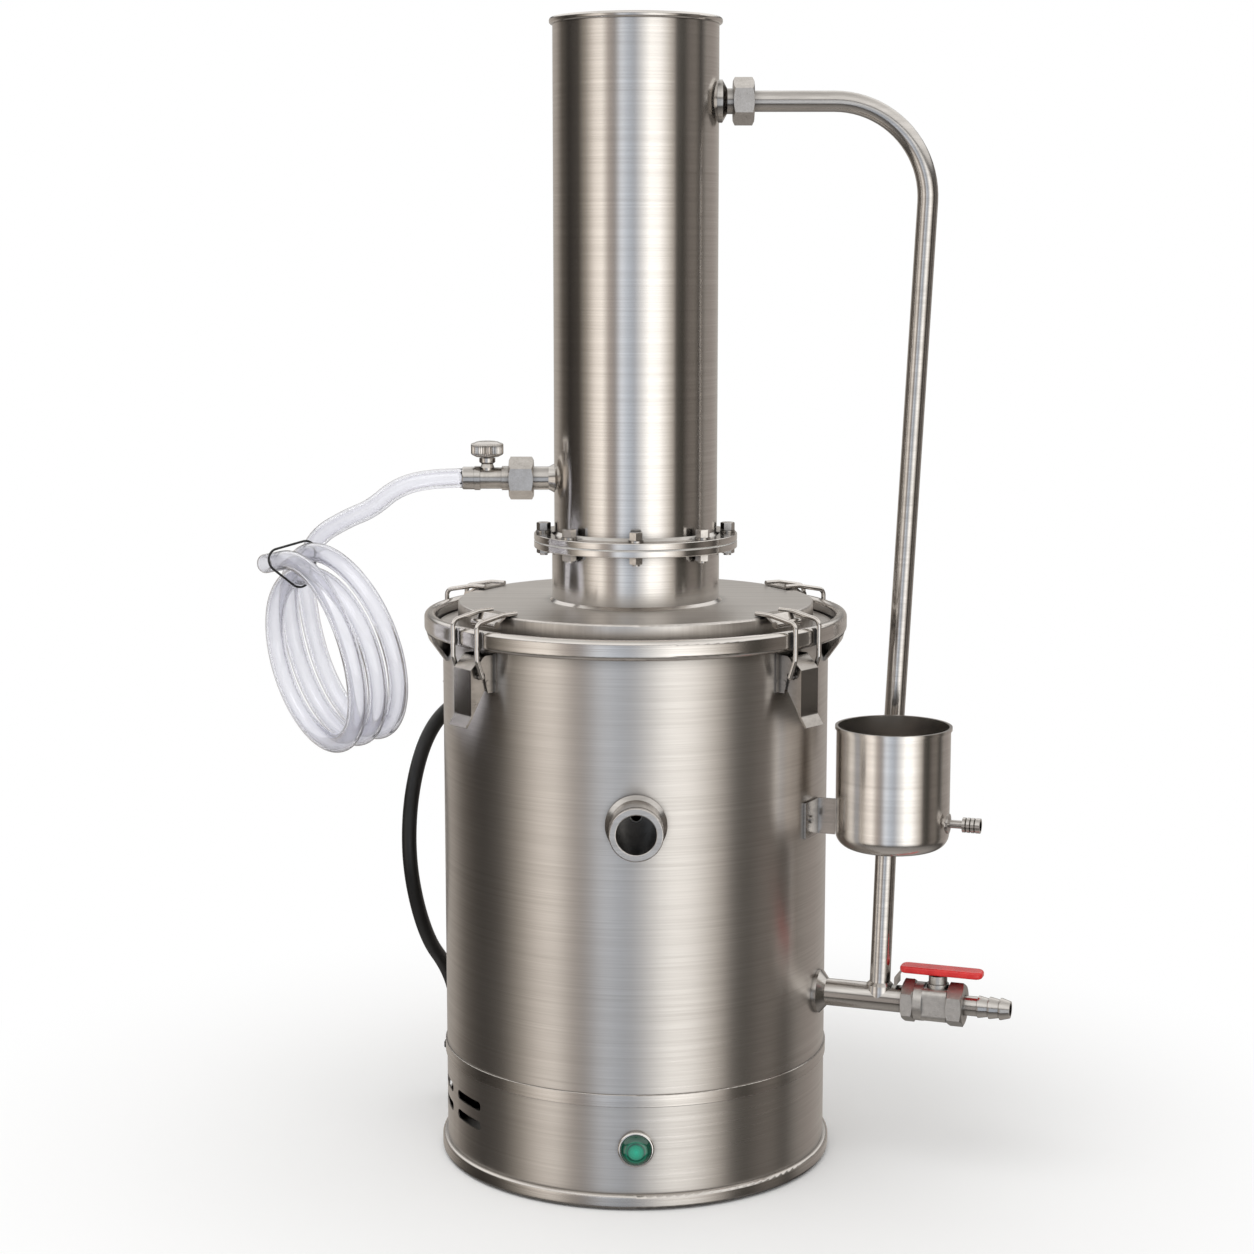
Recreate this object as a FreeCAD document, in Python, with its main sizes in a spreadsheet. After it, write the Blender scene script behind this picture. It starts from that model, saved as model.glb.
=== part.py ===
import FreeCAD, Part
import math
import os
import re
import Sketcher

# Electric water still in stainless steel: a boiler pot on a skirted base, a clamped lid,
# and a condenser column bolted to the lid's neck. Origin on the floor under the pot's axis,
# front towards -Y, right towards +X. Every driving size, in millimetres and degrees.
SIZES = {
    # Clearances and overruns shared by many pieces
    "fit": 0.15,
    "slide_fit": 0.3,
    "overrun": 4,
    # Boiler pot, with its welded floor
    "pot_radius": 125,
    "pot_wall": 1.2,
    "seam_height": 70,
    "floor_rise": 28,
    "pot_floor_thickness": 1.2,
    "pot_height": 347.9,
    # Rolled rim and its ledge
    "rim_out": 11.8,
    "rim_inner_out": 4.4,
    "rim_lap": 1.2,
    "rim_rise": 11.3,
    "rim_round": 3.2,
    "rim_notch_width": 4.6,
    "rim_notch_depth": 1.8,
    # Band over the joint of pot and base
    "band_height": 8,
    "band_proud": 1,
    "band_round": 0.4,
    # Base skirt, foot ring, bottom plate and feet
    "skirt_wall": 1,
    "ring_out": 3.4,
    "ring_low": 1,
    "ring_top": 10.1,
    "ring_round": 2,
    "ring_lip_thickness": 1.4,
    "ring_lip_width": 9,
    "plate_thickness": 1.2,
    "foot_radius": 11,
    "foot_inset": 27,
    "foot_stem_radius": 3,
    "foot_stem_height": 4,
    "foot_round": 0.8,
    # Vent slots in the left of the skirt
    "vent_height": 6,
    "vent_length": 32,
    "vent_round": 2.9,
    "vent_drop": 34.1,
    "vent_row_gap": 12.8,
    "vent_first_turn": 210.25,
    "vent_step_turn": -19.5,
    # Pilot lamp
    "lamp_drop": 30.4,
    "bezel_radius": 11.3,
    "bezel_proud": 3.4,
    "bezel_round": 1.2,
    "bezel_rim": 1.45,
    "lens_rise": 7.4,
    "lens_round": 5,
    "lamp_barrel_radius": 7,
    "lamp_barrel_depth": 12,
    "lamp_barrel_wall": 1.2,
    # Heater, its terminal block and the mains inlet
    "heater_inset": 45,
    "heater_radius": 4.2,
    "heater_rise": 18,
    "heater_leg_gap": 36,
    "heater_leg_depth": 24,
    "block_length": 54,
    "block_width": 24,
    "block_height": 20,
    "block_back": 30,
    "block_slot": 4,
    "inlet_width": 27,
    "inlet_tall": 20,
    "inlet_depth": 20,
    "inlet_flange": 5,
    "inlet_flange_thickness": 2.5,
    "inlet_drop": 30,
    "inlet_recess": 14,
    "inlet_recess_wall": 2.5,
    "inlet_pin_radius": 1.6,
    "inlet_pin_gap": 7,
    # Strip pulls under the rim
    "pull_span": 34,
    "pull_thickness": 1.2,
    "pull_drop": 15.7,
    "pull_round": 3,
    # Lid and its gasket
    "lid_inset": 10,
    "lid_sheet": 1.2,
    "lid_rise": 17.9,
    "lid_round": 1.4,
    "lid_flange_room": 1.6,
    "gasket_thickness": 2.1,
    "gasket_room": 2,
    # Neck, flanges, gasket and bolts
    "neck_out": 1.5,
    "neck_wall": 1.2,
    "weld_leg": 1.8,
    "flange_width": 11.6,
    "flange_thickness": 4.3,
    "flange_round": 0.5,
    "neck_height": 34.4,
    "joint_thickness": 0.5,
    "bolt_inset": 6.2,
    "bolt_radius": 2.5,
    "bolt_head_across": 8,
    "bolt_head_height": 5.2,
    "washer_radius": 5,
    "washer_thickness": 1.3,
    "nut_across": 8,
    "nut_height": 4.4,
    "bolt_tail": 1.2,
    # Condenser column and its cap
    "column_radius": 52.5,
    "column_wall": 1.2,
    "cap_room": 29.5,
    "cap_lip_height": 4,
    "cap_lip_out": 2.1,
    "cap_lip_width": 4,
    "cap_sheet": 1.4,
    "cap_round": 1.6,
    # Inside the column: tube sheets, tubes, riser, tray
    "sheet_thickness": 1.5,
    "low_sheet_rise": 16,
    "cooling_height": 270,
    "cooling_tube_radius": 8,
    "cooling_tube_inset": 19.5,
    "tube_wall": 1,
    "tube_proud": 2,
    "riser_radius": 15,
    "riser_top_gap": 16,
    "tray_rise": 4.7,
    "tray_lip": 8,
    "tray_sheet": 1.2,
    # Distillate pipe and spout
    "product_pipe_radius": 4,
    "product_pipe_bore": 3.2,
    "product_pipe_inset": 12.5,
    "product_bend": 20,
    "spout_drop": 103.3,
    "spout_radius": 16.5,
    "spout_bore": 12,
    "spout_reach": 28,
    "spout_depth": 24,
    "spout_wall": 1.2,
    "spout_collar_out": 2.5,
    "spout_collar_length": 2.6,
    "spout_taper": 2.4,
    "spout_groove_depth": 1.1,
    "spout_groove_width": 1.3,
    "spout_lip_length": 2.8,
    "spout_round": 0.8,
    # Water outlet at the top of the column
    "outlet_drop": 17.7,
    "outlet_collar_radius": 13.4,
    "outlet_collar_length": 2,
    "outlet_neck_radius": 8,
    "outlet_taper": 3,
    "outlet_bore": 5.2,
    "outlet_nut_start": 8.7,
    "outlet_nut_length": 13.3,
    "outlet_nut_across": 26,
    "outlet_nut_lip": 3,
    # Return pipe down to the water cup
    "return_radius": 6.6,
    "return_bore": 5.6,
    "return_top_reach": 188.1,
    "return_foot_aside": 5.3,
    "return_drop": 31,
    "return_bend": 60,
    "return_elbow": 15,
    "return_elbow_leg": 24,
    "return_tail": 1.6,
    # Water inlet with its needle valve
    "inlet_valve_rise": 14.3,
    "inlet_collar_radius": 11.3,
    "inlet_collar_length": 3.4,
    "inlet_nipple_radius": 7.5,
    "inlet_nipple_bore": 3,
    "inlet_nut_start": 13.2,
    "inlet_nut_length": 15.8,
    "inlet_nut_across": 24,
    "tail_ring_radius": 7.8,
    "tail_ring_length": 4.6,
    "needle_body_radius": 6.9,
    "needle_body_length": 14,
    "ferrule_radius": 7.3,
    "ferrule_step": 0.45,
    "ferrule_step_length": 3.6,
    "ferrule_length": 11.6,
    "ferrule_round": 1.2,
    "stem_back": 4.6,
    "neck_cone_radius": 4.6,
    "neck_waist_radius": 3.7,
    "neck_waist_rise": 9.2,
    "neck_collar_radius": 5.2,
    "neck_collar_rise": 10.4,
    "neck_top_rise": 13,
    "spindle_radius": 2,
    "needle_tip_length": 3,
    "knob_radius": 10.45,
    "knob_gap": 0.8,
    "knob_band": 6.4,
    "knob_bevel": 1.9,
    "knob_dome_radius": 7.4,
    # Water cup and what hangs on it, in the upright plane of the drain
    "drain_turn": 19.5,
    "cup_gap": 11.6,
    "cup_radius": 36,
    "cup_wall": 1,
    "cup_height": 78,
    "cup_drop": 54.9,
    "cup_corner": 10,
    "cup_lip": 0.9,
    "cup_lip_height": 2,
    "bracket_thickness": 1.8,
    "bracket_rise": 7,
    "bracket_height": 23,
    "bracket_aside": 9,
    "bracket_span": 9.5,
    "rivet_radius": 2.4,
    "rivet_rise": 1.1,
    "nozzle_rise": 17.5,
    "nozzle_collar_radius": 6.3,
    "nozzle_collar_length": 1.4,
    "nozzle_pipe_radius": 2.6,
    "nozzle_pipe_length": 8,
    "nozzle_barrel_radius": 4.75,
    "nozzle_barrel_length": 11.2,
    "nozzle_bore": 1.7,
    "nozzle_mouth": 3.2,
    "nozzle_groove_depth": 0.7,
    # Standpipe, drain pipe and ball valve
    "standpipe_in": 6.6,
    "standpipe_sway": 2.9,
    "standpipe_radius": 6.6,
    "standpipe_bore": 5.6,
    "standpipe_weld": 2,
    "drain_rise": 17.5,
    "drain_radius": 8.7,
    "drain_bore": 6.5,
    "drain_collar_radius": 14,
    "drain_collar_length": 2.2,
    "drain_taper": 4.4,
    "valve_run": 16.2,
    "valve_hex_across": 24.6,
    "valve_hex_length": 8,
    "valve_ring_length": 5.6,
    "valve_ring_radius": 12.4,
    "valve_block_length": 14.8,
    "valve_block_half": 10.6,
    "valve_block_round": 4.5,
    "valve_cap_gap": 0.8,
    "valve_cap_length": 10.2,
    "valve_cap_across": 25,
    "stem_in": 8.2,
    "ball_radius": 8,
    "ball_bore": 5,
    "seat_length": 2.6,
    "seat_radius": 9,
    "valve_neck_radius": 7,
    "valve_neck_rise": 13,
    "gland_radius": 5.9,
    "gland_rise": 18.2,
    "valve_stem_radius": 3,
    "barb_start_radius": 6.3,
    "barb_plain": 8.4,
    "barb_pitch": 7,
    "barb_rise": 0.7,
    "barb_root": 5.9,
    "barb_tip": 5.4,
    "barb_bore": 4,
    "barb_count": 3,
    # Drain lever with its vinyl sleeve
    "strap_rise": 20,
    "strap_thickness": 2,
    "strap_half_width": 5,
    "strap_front": 26.6,
    "strap_back": 22.2,
    "strap_tail_reach": 27.4,
    "strap_tail_rise": 10.6,
    "strap_bend": 4,
    "sleeve_front": 29,
    "sleeve_back": 24.2,
    "sleeve_half_width": 6.4,
    "sleeve_low_rise": 18.8,
    "sleeve_thickness": 4.6,
    "sleeve_corner": 4.6,
    "sleeve_round": 1.7,
    # Toggle latches: pivot above the bail pin, both set off the wall
    "latch_front_turn": 41,
    "latch_back_turn": 30,
    "latch_pivot_out": 9.5,
    "latch_pivot_drop": 11.7,
    "latch_throw": 4.5,
    "latch_throw_turn": 80,
    "latch_pin_radius": 1.5,
    "latch_sheet": 1.2,
    "lever_half_width": 8.6,
    "ear_gap": 0.3,
    "wire_radius": 1.5,
    "wire_gap": 0.35,
    "rim_gap": 1,
    "lever_tab_in": 1,
    "lever_tab_up": 8,
    "lever_face_out": 6.9,
    "lever_face_drop": 28.5,
    "lever_lip_out": 11.4,
    "lever_lip_drop": 35,
    "lever_back_in": 6.2,
    "lever_cheek_drop": 10,
    "lever_cheek_up": 3,
    "ear_up": 8.4,
    "ear_drop": 15,
    "ear_in": 5,
    "ear_boss": 2.5,
    "ear_heel": 3.4,
    "bracket_plate": 1,
    "bracket_plate_half": 12.5,
    "claw_lap": 6.5,
    "claw_sheet": 1.2,
    "claw_roll_radius": 2.2,
    "claw_roll_out": 8.4,
    "claw_roll_rise": 3.1,
    "lid_gap": 0.3,
    "wire_knee_rise": 6.5,
    "wire_crown": 4.2,
    "wire_bend": 4.5,
    # Cable on the left, from an elbow gland on the skirt to the cut-out's housing on the pot
    "cable_radius": 5,
    "cable_start_run": 14,
    "cable_end_run": 21,
    "gland_bore": 3.6,
    "gland_hex_across": 17,
    "gland_hex_length": 5,
    "gland_cone_radius": 7.4,
    "gland_tip_radius": 6,
    "gland_length": 15,
    "elbow_turn": 142.5,
    "elbow_reach": 33,
    "elbow_height": 21,
    "elbow_radius": 6.5,
    "elbow_bend": 9,
    "elbow_neck": 3,
    "housing_turn": 118,
    "housing_depth": 23,
    "housing_half_width": 20,
    "housing_drop": 79.9,
    "housing_height": 38,
    "housing_round": 5,
    "housing_wall": 2,
    "housing_port_out": 11,
    # Clear water hose with its hanging coil
    "hose_radius": 6.25,
    "hose_end_run": 23.5,
    "coil_radius": 62,
    "coil_step": 15,
    "coil_draw_in": 13,
    "coil_gather_share": 0.35,
    "coil_first_share": 0.227,
    "coil_last_share": 3.04,
    "coil_lean": 13,
    "coil_turn": 56,
    "coil_centre_out": -202,
    "coil_centre_back": -18,
    "coil_drop": 108.3,
    "tie_share": 0.02,
    "tie_wire": 1.5,
    "tie_gap": 0.8,
}

# Places and outer sizes that follow from the sizes above.
TIED = {
    "rim_radius": "pot_radius + rim_out",
    "rim_inner_radius": "pot_radius + rim_inner_out",
    "rim_low": "pot_height - rim_lap",
    "rim_top": "pot_height + rim_rise",
    "ring_radius": "pot_radius + ring_out",
    "foot_circle": "pot_radius - foot_inset",
    "lamp_height": "seam_height - lamp_drop",
    "vent_row_low": "seam_height - vent_drop",
    "inlet_centre_height": "seam_height - inlet_drop",
    "pot_floor_height": "seam_height + floor_rise",
    "heater_ring_radius": "pot_radius - heater_inset",
    "heater_height": "pot_floor_height + heater_rise",
    "pull_low": "rim_low - pull_drop",
    "lid_radius": "pot_radius - lid_inset",
    "lid_top": "pot_height + lid_rise",
    "lid_flange_radius": "rim_inner_radius - lid_flange_room",
    "gasket_inner_radius": "lid_radius + gasket_room",
    "neck_radius": "column_radius + neck_out",
    "flange_radius": "neck_radius + flange_width",
    "flange_low": "lid_top + neck_height",
    "bolt_circle": "flange_radius - bolt_inset",
    "tray_height": "flange_low + 2 * flange_thickness + joint_thickness + tray_rise",
    "low_sheet_height": "tray_height + low_sheet_rise",
    "high_sheet_height": "low_sheet_height + cooling_height",
    "cap_low": "high_sheet_height + cap_room",
    "cap_top": "cap_low + cap_lip_height",
    "cap_lip_radius": "column_radius + cap_lip_out",
    "cooling_tube_circle": "column_radius - cooling_tube_inset",
    "product_pipe_back": "column_radius - product_pipe_inset",
    "spout_height": "pot_height - spout_drop",
    "lens_radius": "bezel_radius - bezel_rim",
    "spout_collar_radius": "spout_radius + spout_collar_out",
    "outlet_height": "high_sheet_height - outlet_drop",
    "inlet_valve_height": "low_sheet_height + inlet_valve_rise",
    "cup_out": "pot_radius + cup_gap + cup_radius",
    "cup_top": "pot_height - cup_drop",
    "cup_low": "cup_top - cup_height",
    "bracket_low": "cup_low + bracket_rise",
    "nozzle_height": "cup_low + nozzle_rise",
    "return_foot_reach": "cup_out * cos(drain_turn) + return_foot_aside",
    "return_low": "cup_top - return_drop",
    "standpipe_out": "cup_out - standpipe_in",
    "standpipe_top_out": "standpipe_out + standpipe_sway",
    "drain_height": "pot_floor_height + drain_rise",
    "valve_start": "standpipe_out + valve_run",
    "stem_out": "valve_start + valve_hex_length + valve_ring_length + stem_in",
    "claw_reach": "lid_radius - claw_lap",
    "claw_roll_reach": "lid_radius + claw_roll_out",
    "elbow_out": "pot_radius + elbow_reach",
    "housing_low": "pot_height - housing_drop",
}

doc = FreeCAD.newDocument("water_still")
sheet = doc.addObject("Spreadsheet::Sheet", "Sizes")
for row, (alias, number) in enumerate(SIZES.items(), start=1):
    sheet.set("A%d" % row, alias)
    sheet.set("B%d" % row, str(number))
    sheet.setAlias("B%d" % row, alias)
doc.recompute()


def spelled(text):
    """An expression with each tied size written out in the sheet's own words."""
    def spell(match):
        word = match.group()
        return "(" + spelled(TIED[word]) + ")" if word in TIED else word
    return re.sub(r"[a-z_][a-z_0-9]*", spell, text)


def bound(text):
    """An expression with each of the sheet's words pointed at the sheet."""
    def point(match):
        word = match.group()
        return "Sizes." + word if word in SIZES else word
    return re.sub(r"[a-z_][a-z_0-9]*", point, spelled(text))


def size(text):
    """The value that an expression has now."""
    return float(sheet.evalExpression(spelled(text)))


def bind(item, **expressions):
    """Tie an object's properties to the sheet."""
    for name, text in expressions.items():
        item.setExpression(name, bound(text))


def at(out="0", side="0", up="0", turn="0", tilt="0", roll="0"):
    """A place: a point out along X, aside along Y and up, then turned about Z, Y and X."""
    return "placement(vector(%s; %s; %s); rotation(%s; %s; %s))" % (out, side, up, turn, tilt, roll)


def around(turn, out="0", up="0", tilt="0", roll="0", side="0"):
    """A place at a turn about the pot's axis, with its own X (or its Z, tilted) pointing out."""
    along = "(%s) * cos(%s) - (%s) * sin(%s)" % (out, turn, side, turn)
    across = "(%s) * sin(%s) + (%s) * cos(%s)" % (out, turn, side, turn)
    return at(along, across, up, turn, tilt, roll)


def put(item, where):
    """Bind an object's Placement."""
    if where:
        bind(item, Placement=where)
    return item


def cylinder(name, radius, height, where=None):
    item = doc.addObject("Part::Cylinder", name)
    bind(item, Radius=radius, Height=height)
    return put(item, where)


def ball(name, radius, where=None):
    item = doc.addObject("Part::Sphere", name)
    bind(item, Radius=radius)
    return put(item, where)


def box(name, length, width, height, where=None):
    item = doc.addObject("Part::Box", name)
    bind(item, Length=length, Width=width, Height=height)
    return put(item, where)


def cut(name, base, *tools):
    item = doc.addObject("Part::Cut", name)
    item.Base = base
    item.Tool = tools[0] if len(tools) == 1 else joined(name + "_tools", *tools)
    return item


def joined(name, *pieces):
    item = doc.addObject("Part::MultiFuse", name)
    item.Shapes = list(pieces)
    return item


def common(name, first, second):
    item = doc.addObject("Part::Common", name)
    item.Base = first
    item.Tool = second
    return item


def group(name, *pieces):
    """Separate solids that share one sub-part."""
    item = doc.addObject("Part::Compound", name)
    item.Links = list(pieces)
    return item


def copy(name, piece, where):
    item = doc.addObject("App::Link", name)
    item.LinkedObject = piece
    return put(item, where)


def unit(start, end):
    line = end - start
    return line / line.Length


def draw(sketch, corners, closed=True):
    """Draw straight runs through bound corners, each with its tangent round if it has one."""
    count = len(corners)
    spots = [FreeCAD.Vector(size(c[0]), size(c[1]), 0) for c in corners]
    rounds = [size(c[2]) if len(c) > 2 else 0 for c in corners]
    ends = []
    for index, spot in enumerate(spots):
        if not rounds[index]:
            ends.append((spot, spot, None))
            continue
        before = unit(spots[index - 1], spot)
        after = unit(spot, spots[(index + 1) % count])
        half_turn = before.getAngle(after) / 2
        trim = rounds[index] * math.tan(half_turn)
        side = 1 if before.cross(after).z > 0 else -1
        inward = FreeCAD.Vector(-before.y, before.x, 0) * side
        start = spot - before * trim
        ends.append((start, spot + after * trim, (start + inward * rounds[index], side)))
    runs = count if closed else count - 1
    lines = []
    for index in range(runs):
        line = Part.LineSegment(ends[index][1], ends[(index + 1) % count][0])
        lines.append(sketch.addGeometry(line))
    for index, corner in enumerate(corners):
        before = lines[index - 1] if closed or index > 0 else None
        after = lines[index] if index < runs else None
        if ends[index][2]:
            middle, side = ends[index][2]
            first = ends[index][0] - middle
            last = ends[index][1] - middle
            angles = [math.atan2(first.y, first.x), math.atan2(last.y, last.x)]
            if side < 0:
                angles.reverse()
            circle = Part.Circle(middle, FreeCAD.Vector(0, 0, 1), rounds[index])
            arc = sketch.addGeometry(Part.ArcOfCircle(circle, angles[0], angles[1]))
            mark = sketch.addGeometry(Part.Point(spots[index]), True)
            heads = (1, 2) if side > 0 else (2, 1)
            sketch.addConstraint(Sketcher.Constraint("Tangent", before, 2, arc, heads[0]))
            sketch.addConstraint(Sketcher.Constraint("Tangent", arc, heads[1], after, 1))
            sketch.addConstraint(Sketcher.Constraint("PointOnObject", mark, 1, before))
            sketch.addConstraint(Sketcher.Constraint("PointOnObject", mark, 1, after))
            radius = sketch.addConstraint(Sketcher.Constraint("Radius", arc, rounds[index]))
            sketch.setExpression("Constraints[%d]" % radius, bound(corner[2]))
            held = (mark, 1)
        elif before is not None and after is not None:
            sketch.addConstraint(Sketcher.Constraint("Coincident", before, 2, after, 1))
            held = (after, 1)
        else:
            held = (after, 1) if after is not None else (before, 2)
        across = ("DistanceX", corner[0], spots[index].x)
        upward = ("DistanceY", corner[1], spots[index].y)
        for kind, text, value in (across, upward):
            number = sketch.addConstraint(Sketcher.Constraint(kind, -1, 1, held[0], held[1], value))
            sketch.setExpression("Constraints[%d]" % number, bound(text))


def body_on(name, role, corners):
    """A body with one closed sketch on one of its own planes."""
    body = doc.addObject("PartDesign::Body", name)
    sketch = body.newObject("Sketcher::SketchObject", name + "_outline")
    plane = [item for item in body.Origin.OriginFeatures if item.Role == role][0]
    sketch.AttachmentSupport = [(plane, "")]
    sketch.MapMode = "FlatFace"
    draw(sketch, corners)
    return body, sketch


def turned(name, corners, where=None, span="360"):
    """A turned piece: its outline, as radius and height, spun about its own Z."""
    body, sketch = body_on(name, "XZ_Plane", corners)
    spin = body.newObject("PartDesign::Revolution", name + "_spin")
    spin.Profile = sketch
    spin.ReferenceAxis = (sketch, ["V_Axis"])
    bind(spin, Angle=span)
    return put(body, where)


def pad(name, role, corners, thickness, where=None, both_ways=True):
    """A flat piece: an outline given its thickness, evenly about its plane or to one side."""
    body, sketch = body_on(name, role, corners)
    rise = body.newObject("PartDesign::Pad", name + "_rise")
    rise.Profile = sketch
    rise.Midplane = both_ways
    bind(rise, Length=thickness)
    return put(body, where)


def hexagon(name, across, height, bore, where=None):
    """A hexagon nut or head with bevelled corners."""
    prism = doc.addObject("Part::Prism", name + "_prism")
    prism.Polygon = 6
    bind(prism, Circumradius="(%s) / sqrt(3)" % across, Height=height)
    corner = "(%s) / sqrt(3) + fit" % across
    flat = "(%s) / 2 * 0.98" % across
    slope = "((%s) / sqrt(3) + fit - (%s) / 2 * 0.98) * 0.5" % (across, across)
    blank = turned(name + "_bevels", [
        ("0", "0"), (flat, "0"), (corner, slope),
        (corner, "(%s) - %s" % (height, slope)), (flat, height), ("0", height)])
    body = common(name + "_hex", prism, blank)
    if bore:
        hole = cylinder(name + "_hole", bore, "(%s) + 2 * overrun" % height, at(up="-overrun"))
        body = cut(name + "_bored", body, hole)
    return put(body, where)


def bent(name, route, radius, first_turn):
    """A rod along a flat route of runs and tangent arcs; its first run follows the route's X or Y."""
    path = doc.addObject("Sketcher::SketchObject", name + "_path")
    draw(path, route, closed=False)
    ring = doc.addObject("Part::Circle", name + "_ring")
    bind(ring, Radius=radius)
    if first_turn == "X":
        put(ring, at(route[0][0], route[0][1], "0", "0", "90", "0"))
    else:
        put(ring, at(route[0][0], route[0][1], "0", "0", "0", "90"))
    sweep = doc.addObject("Part::Sweep", name)
    sweep.Sections = [ring]
    sweep.Spine = (path, [])
    sweep.Solid = True
    return sweep


kept = {}


def keep(name, item):
    """Name a finished sub-part; its Label names its file."""
    item.Label = name
    kept[name] = item
    return item


DRAIN = "-drain_turn"
POT_SPACE = cylinder("pot_space", "pot_radius", "rim_top", at())
COLUMN_SPACE = cylinder("column_space", "column_radius", "cap_top", at())

# Feet, bottom plate and rolled foot ring. The skirt and the plate stand on the ring's lip.
lip_top = "ring_low + ring_lip_thickness"
ring = turned("base_ring_turned", [
    ("pot_radius - ring_lip_width", "ring_low"),
    ("ring_radius", "ring_low", "ring_round"),
    ("ring_radius", "ring_top", "ring_round"),
    ("pot_radius", "ring_top"),
    ("pot_radius", lip_top),
    ("pot_radius - ring_lip_width", lip_top)])
keep("base_ring", ring)

plate_radius = "pot_radius - skirt_wall - fit"
plate_blank = cylinder("base_plate_blank", plate_radius, "plate_thickness", at(up=lip_top))
foot_turns = [str(45 + 90 * index) for index in range(4)]
foot_hole = cylinder("foot_hole", "foot_stem_radius + fit", "plate_thickness + 2 * overrun")
foot_holes = [copy("foot_hole_%d" % index, foot_hole, around(turn, "foot_circle", lip_top + " - overrun"))
              for index, turn in enumerate(foot_turns)]
keep("base_plate", cut("base_plate_holed", plate_blank, *foot_holes))

foot = turned("foot_turned", [
    ("0", "0"),
    ("foot_radius", "0", "foot_round"),
    ("foot_radius * 0.93", lip_top),
    ("foot_stem_radius", lip_top),
    ("foot_stem_radius", lip_top + " + foot_stem_height"),
    ("0", lip_top + " + foot_stem_height")])
feet = [copy("foot_%d" % index, foot, around(turn, "foot_circle")) for index, turn in enumerate(foot_turns)]
keep("rubber_feet", group("feet", *feet))

# Skirt of the base: vents on its left, a hole for the lamp, the mains inlet and the low gland.
skirt_tube = turned("skirt_tube", [
    ("pot_radius - skirt_wall", lip_top),
    ("pot_radius", lip_top),
    ("pot_radius", "seam_height"),
    ("pot_radius - skirt_wall", "seam_height")])
vent = pad("vent_slot", "YZ_Plane", [
    ("-vent_length / 2", "-vent_height / 2", "vent_round"),
    ("vent_length / 2", "-vent_height / 2", "vent_round"),
    ("vent_length / 2", "vent_height / 2", "vent_round"),
    ("-vent_length / 2", "vent_height / 2", "vent_round")], "4 * overrun")
vents = []
for row in range(2):
    for column in range(4):
        where = around("vent_first_turn + %d * vent_step_turn" % column, "pot_radius",
                       "vent_row_low + %d * vent_row_gap" % row)
        vents.append(copy("vent_%d_%d" % (row, column), vent, where))
lamp_hole = cylinder("lamp_hole", "lamp_barrel_radius + fit", "4 * overrun",
                     around("-90", "pot_radius - 2 * overrun", "lamp_height", "90"))
socket_hole = box("socket_hole", "4 * overrun", "inlet_width + 2 * fit", "inlet_tall + 2 * fit",
                  around("90", "pot_radius - 2 * overrun", "inlet_centre_height - inlet_tall / 2 - fit",
                         side="-inlet_width / 2 - fit"))
low_gland_hole = cylinder("low_gland_hole", "gland_bore", "4 * overrun",
                          around("elbow_turn", "pot_radius - 2 * overrun", "elbow_height", "90"))
keep("base_skirt", cut("base_skirt_cut", skirt_tube, lamp_hole, socket_hole, low_gland_hole, *vents))

band = turned("seam_band_turned", [
    ("pot_radius", "seam_height - band_height / 2"),
    ("pot_radius + band_proud", "seam_height - band_height / 2", "band_round"),
    ("pot_radius + band_proud", "seam_height + band_height / 2", "band_round"),
    ("pot_radius", "seam_height + band_height / 2")])
keep("seam_band", band)

# Pilot lamp: a plated bezel with its barrel through the skirt, and a domed green lens.
lamp_place = around("-90", "pot_radius", "lamp_height", "90")
bezel_front = turned("bezel_front", [
    ("lamp_barrel_radius - lamp_barrel_wall", "-overrun / 2"),
    ("bezel_radius", "-overrun / 2"),
    ("bezel_radius", "bezel_proud", "bezel_round"),
    ("lens_radius + fit", "bezel_proud"),
    ("lens_radius + fit", "lamp_barrel_wall"),
    ("lamp_barrel_radius - lamp_barrel_wall", "lamp_barrel_wall")], lamp_place)
bezel_barrel = turned("bezel_barrel", [
    ("lamp_barrel_radius - lamp_barrel_wall", "-lamp_barrel_depth"),
    ("lamp_barrel_radius", "-lamp_barrel_depth"),
    ("lamp_barrel_radius", "lamp_barrel_wall"),
    ("lamp_barrel_radius - lamp_barrel_wall", "lamp_barrel_wall")], lamp_place)
bezel_seated = cut("bezel_seated", bezel_front, cylinder("skirt_space", "pot_radius", "seam_height"))
keep("lamp_bezel", joined("bezel_whole", bezel_seated, bezel_barrel))
lens = turned("lens_turned", [
    ("0", "lamp_barrel_wall"),
    ("lens_radius", "lamp_barrel_wall"),
    ("lens_radius", "lens_rise", "lens_round"),
    ("0", "lens_rise")], lamp_place)
keep("lamp_lens", lens)

# Mains inlet in the back of the skirt, and the terminal block on the bottom plate.
socket_body = box("socket_body", "inlet_depth", "inlet_width", "inlet_tall",
                  around("90", "pot_radius - inlet_depth", "inlet_centre_height - inlet_tall / 2",
                         side="-inlet_width / 2"))
socket_flange = box("socket_flange", "inlet_flange_thickness + skirt_wall", "inlet_width + 2 * inlet_flange",
                    "inlet_tall + 2 * inlet_flange",
                    around("90", "pot_radius - skirt_wall",
                           "inlet_centre_height - inlet_tall / 2 - inlet_flange",
                           side="-inlet_width / 2 - inlet_flange"))
flange_proud = cut("flange_proud", socket_flange, cylinder("flange_seat", "pot_radius", "seam_height"))
recess = box("socket_recess", "inlet_recess + overrun", "inlet_width - 2 * inlet_recess_wall",
             "inlet_tall - 2 * inlet_recess_wall",
             around("90", "pot_radius + inlet_flange_thickness - inlet_recess",
                    "inlet_centre_height - inlet_tall / 2 + inlet_recess_wall",
                    side="-inlet_width / 2 + inlet_recess_wall"))
socket_shell = cut("socket_shell", joined("socket_blank", socket_body, flange_proud), recess)
pin = cylinder("socket_pin", "inlet_pin_radius", "inlet_recess", at())
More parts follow.
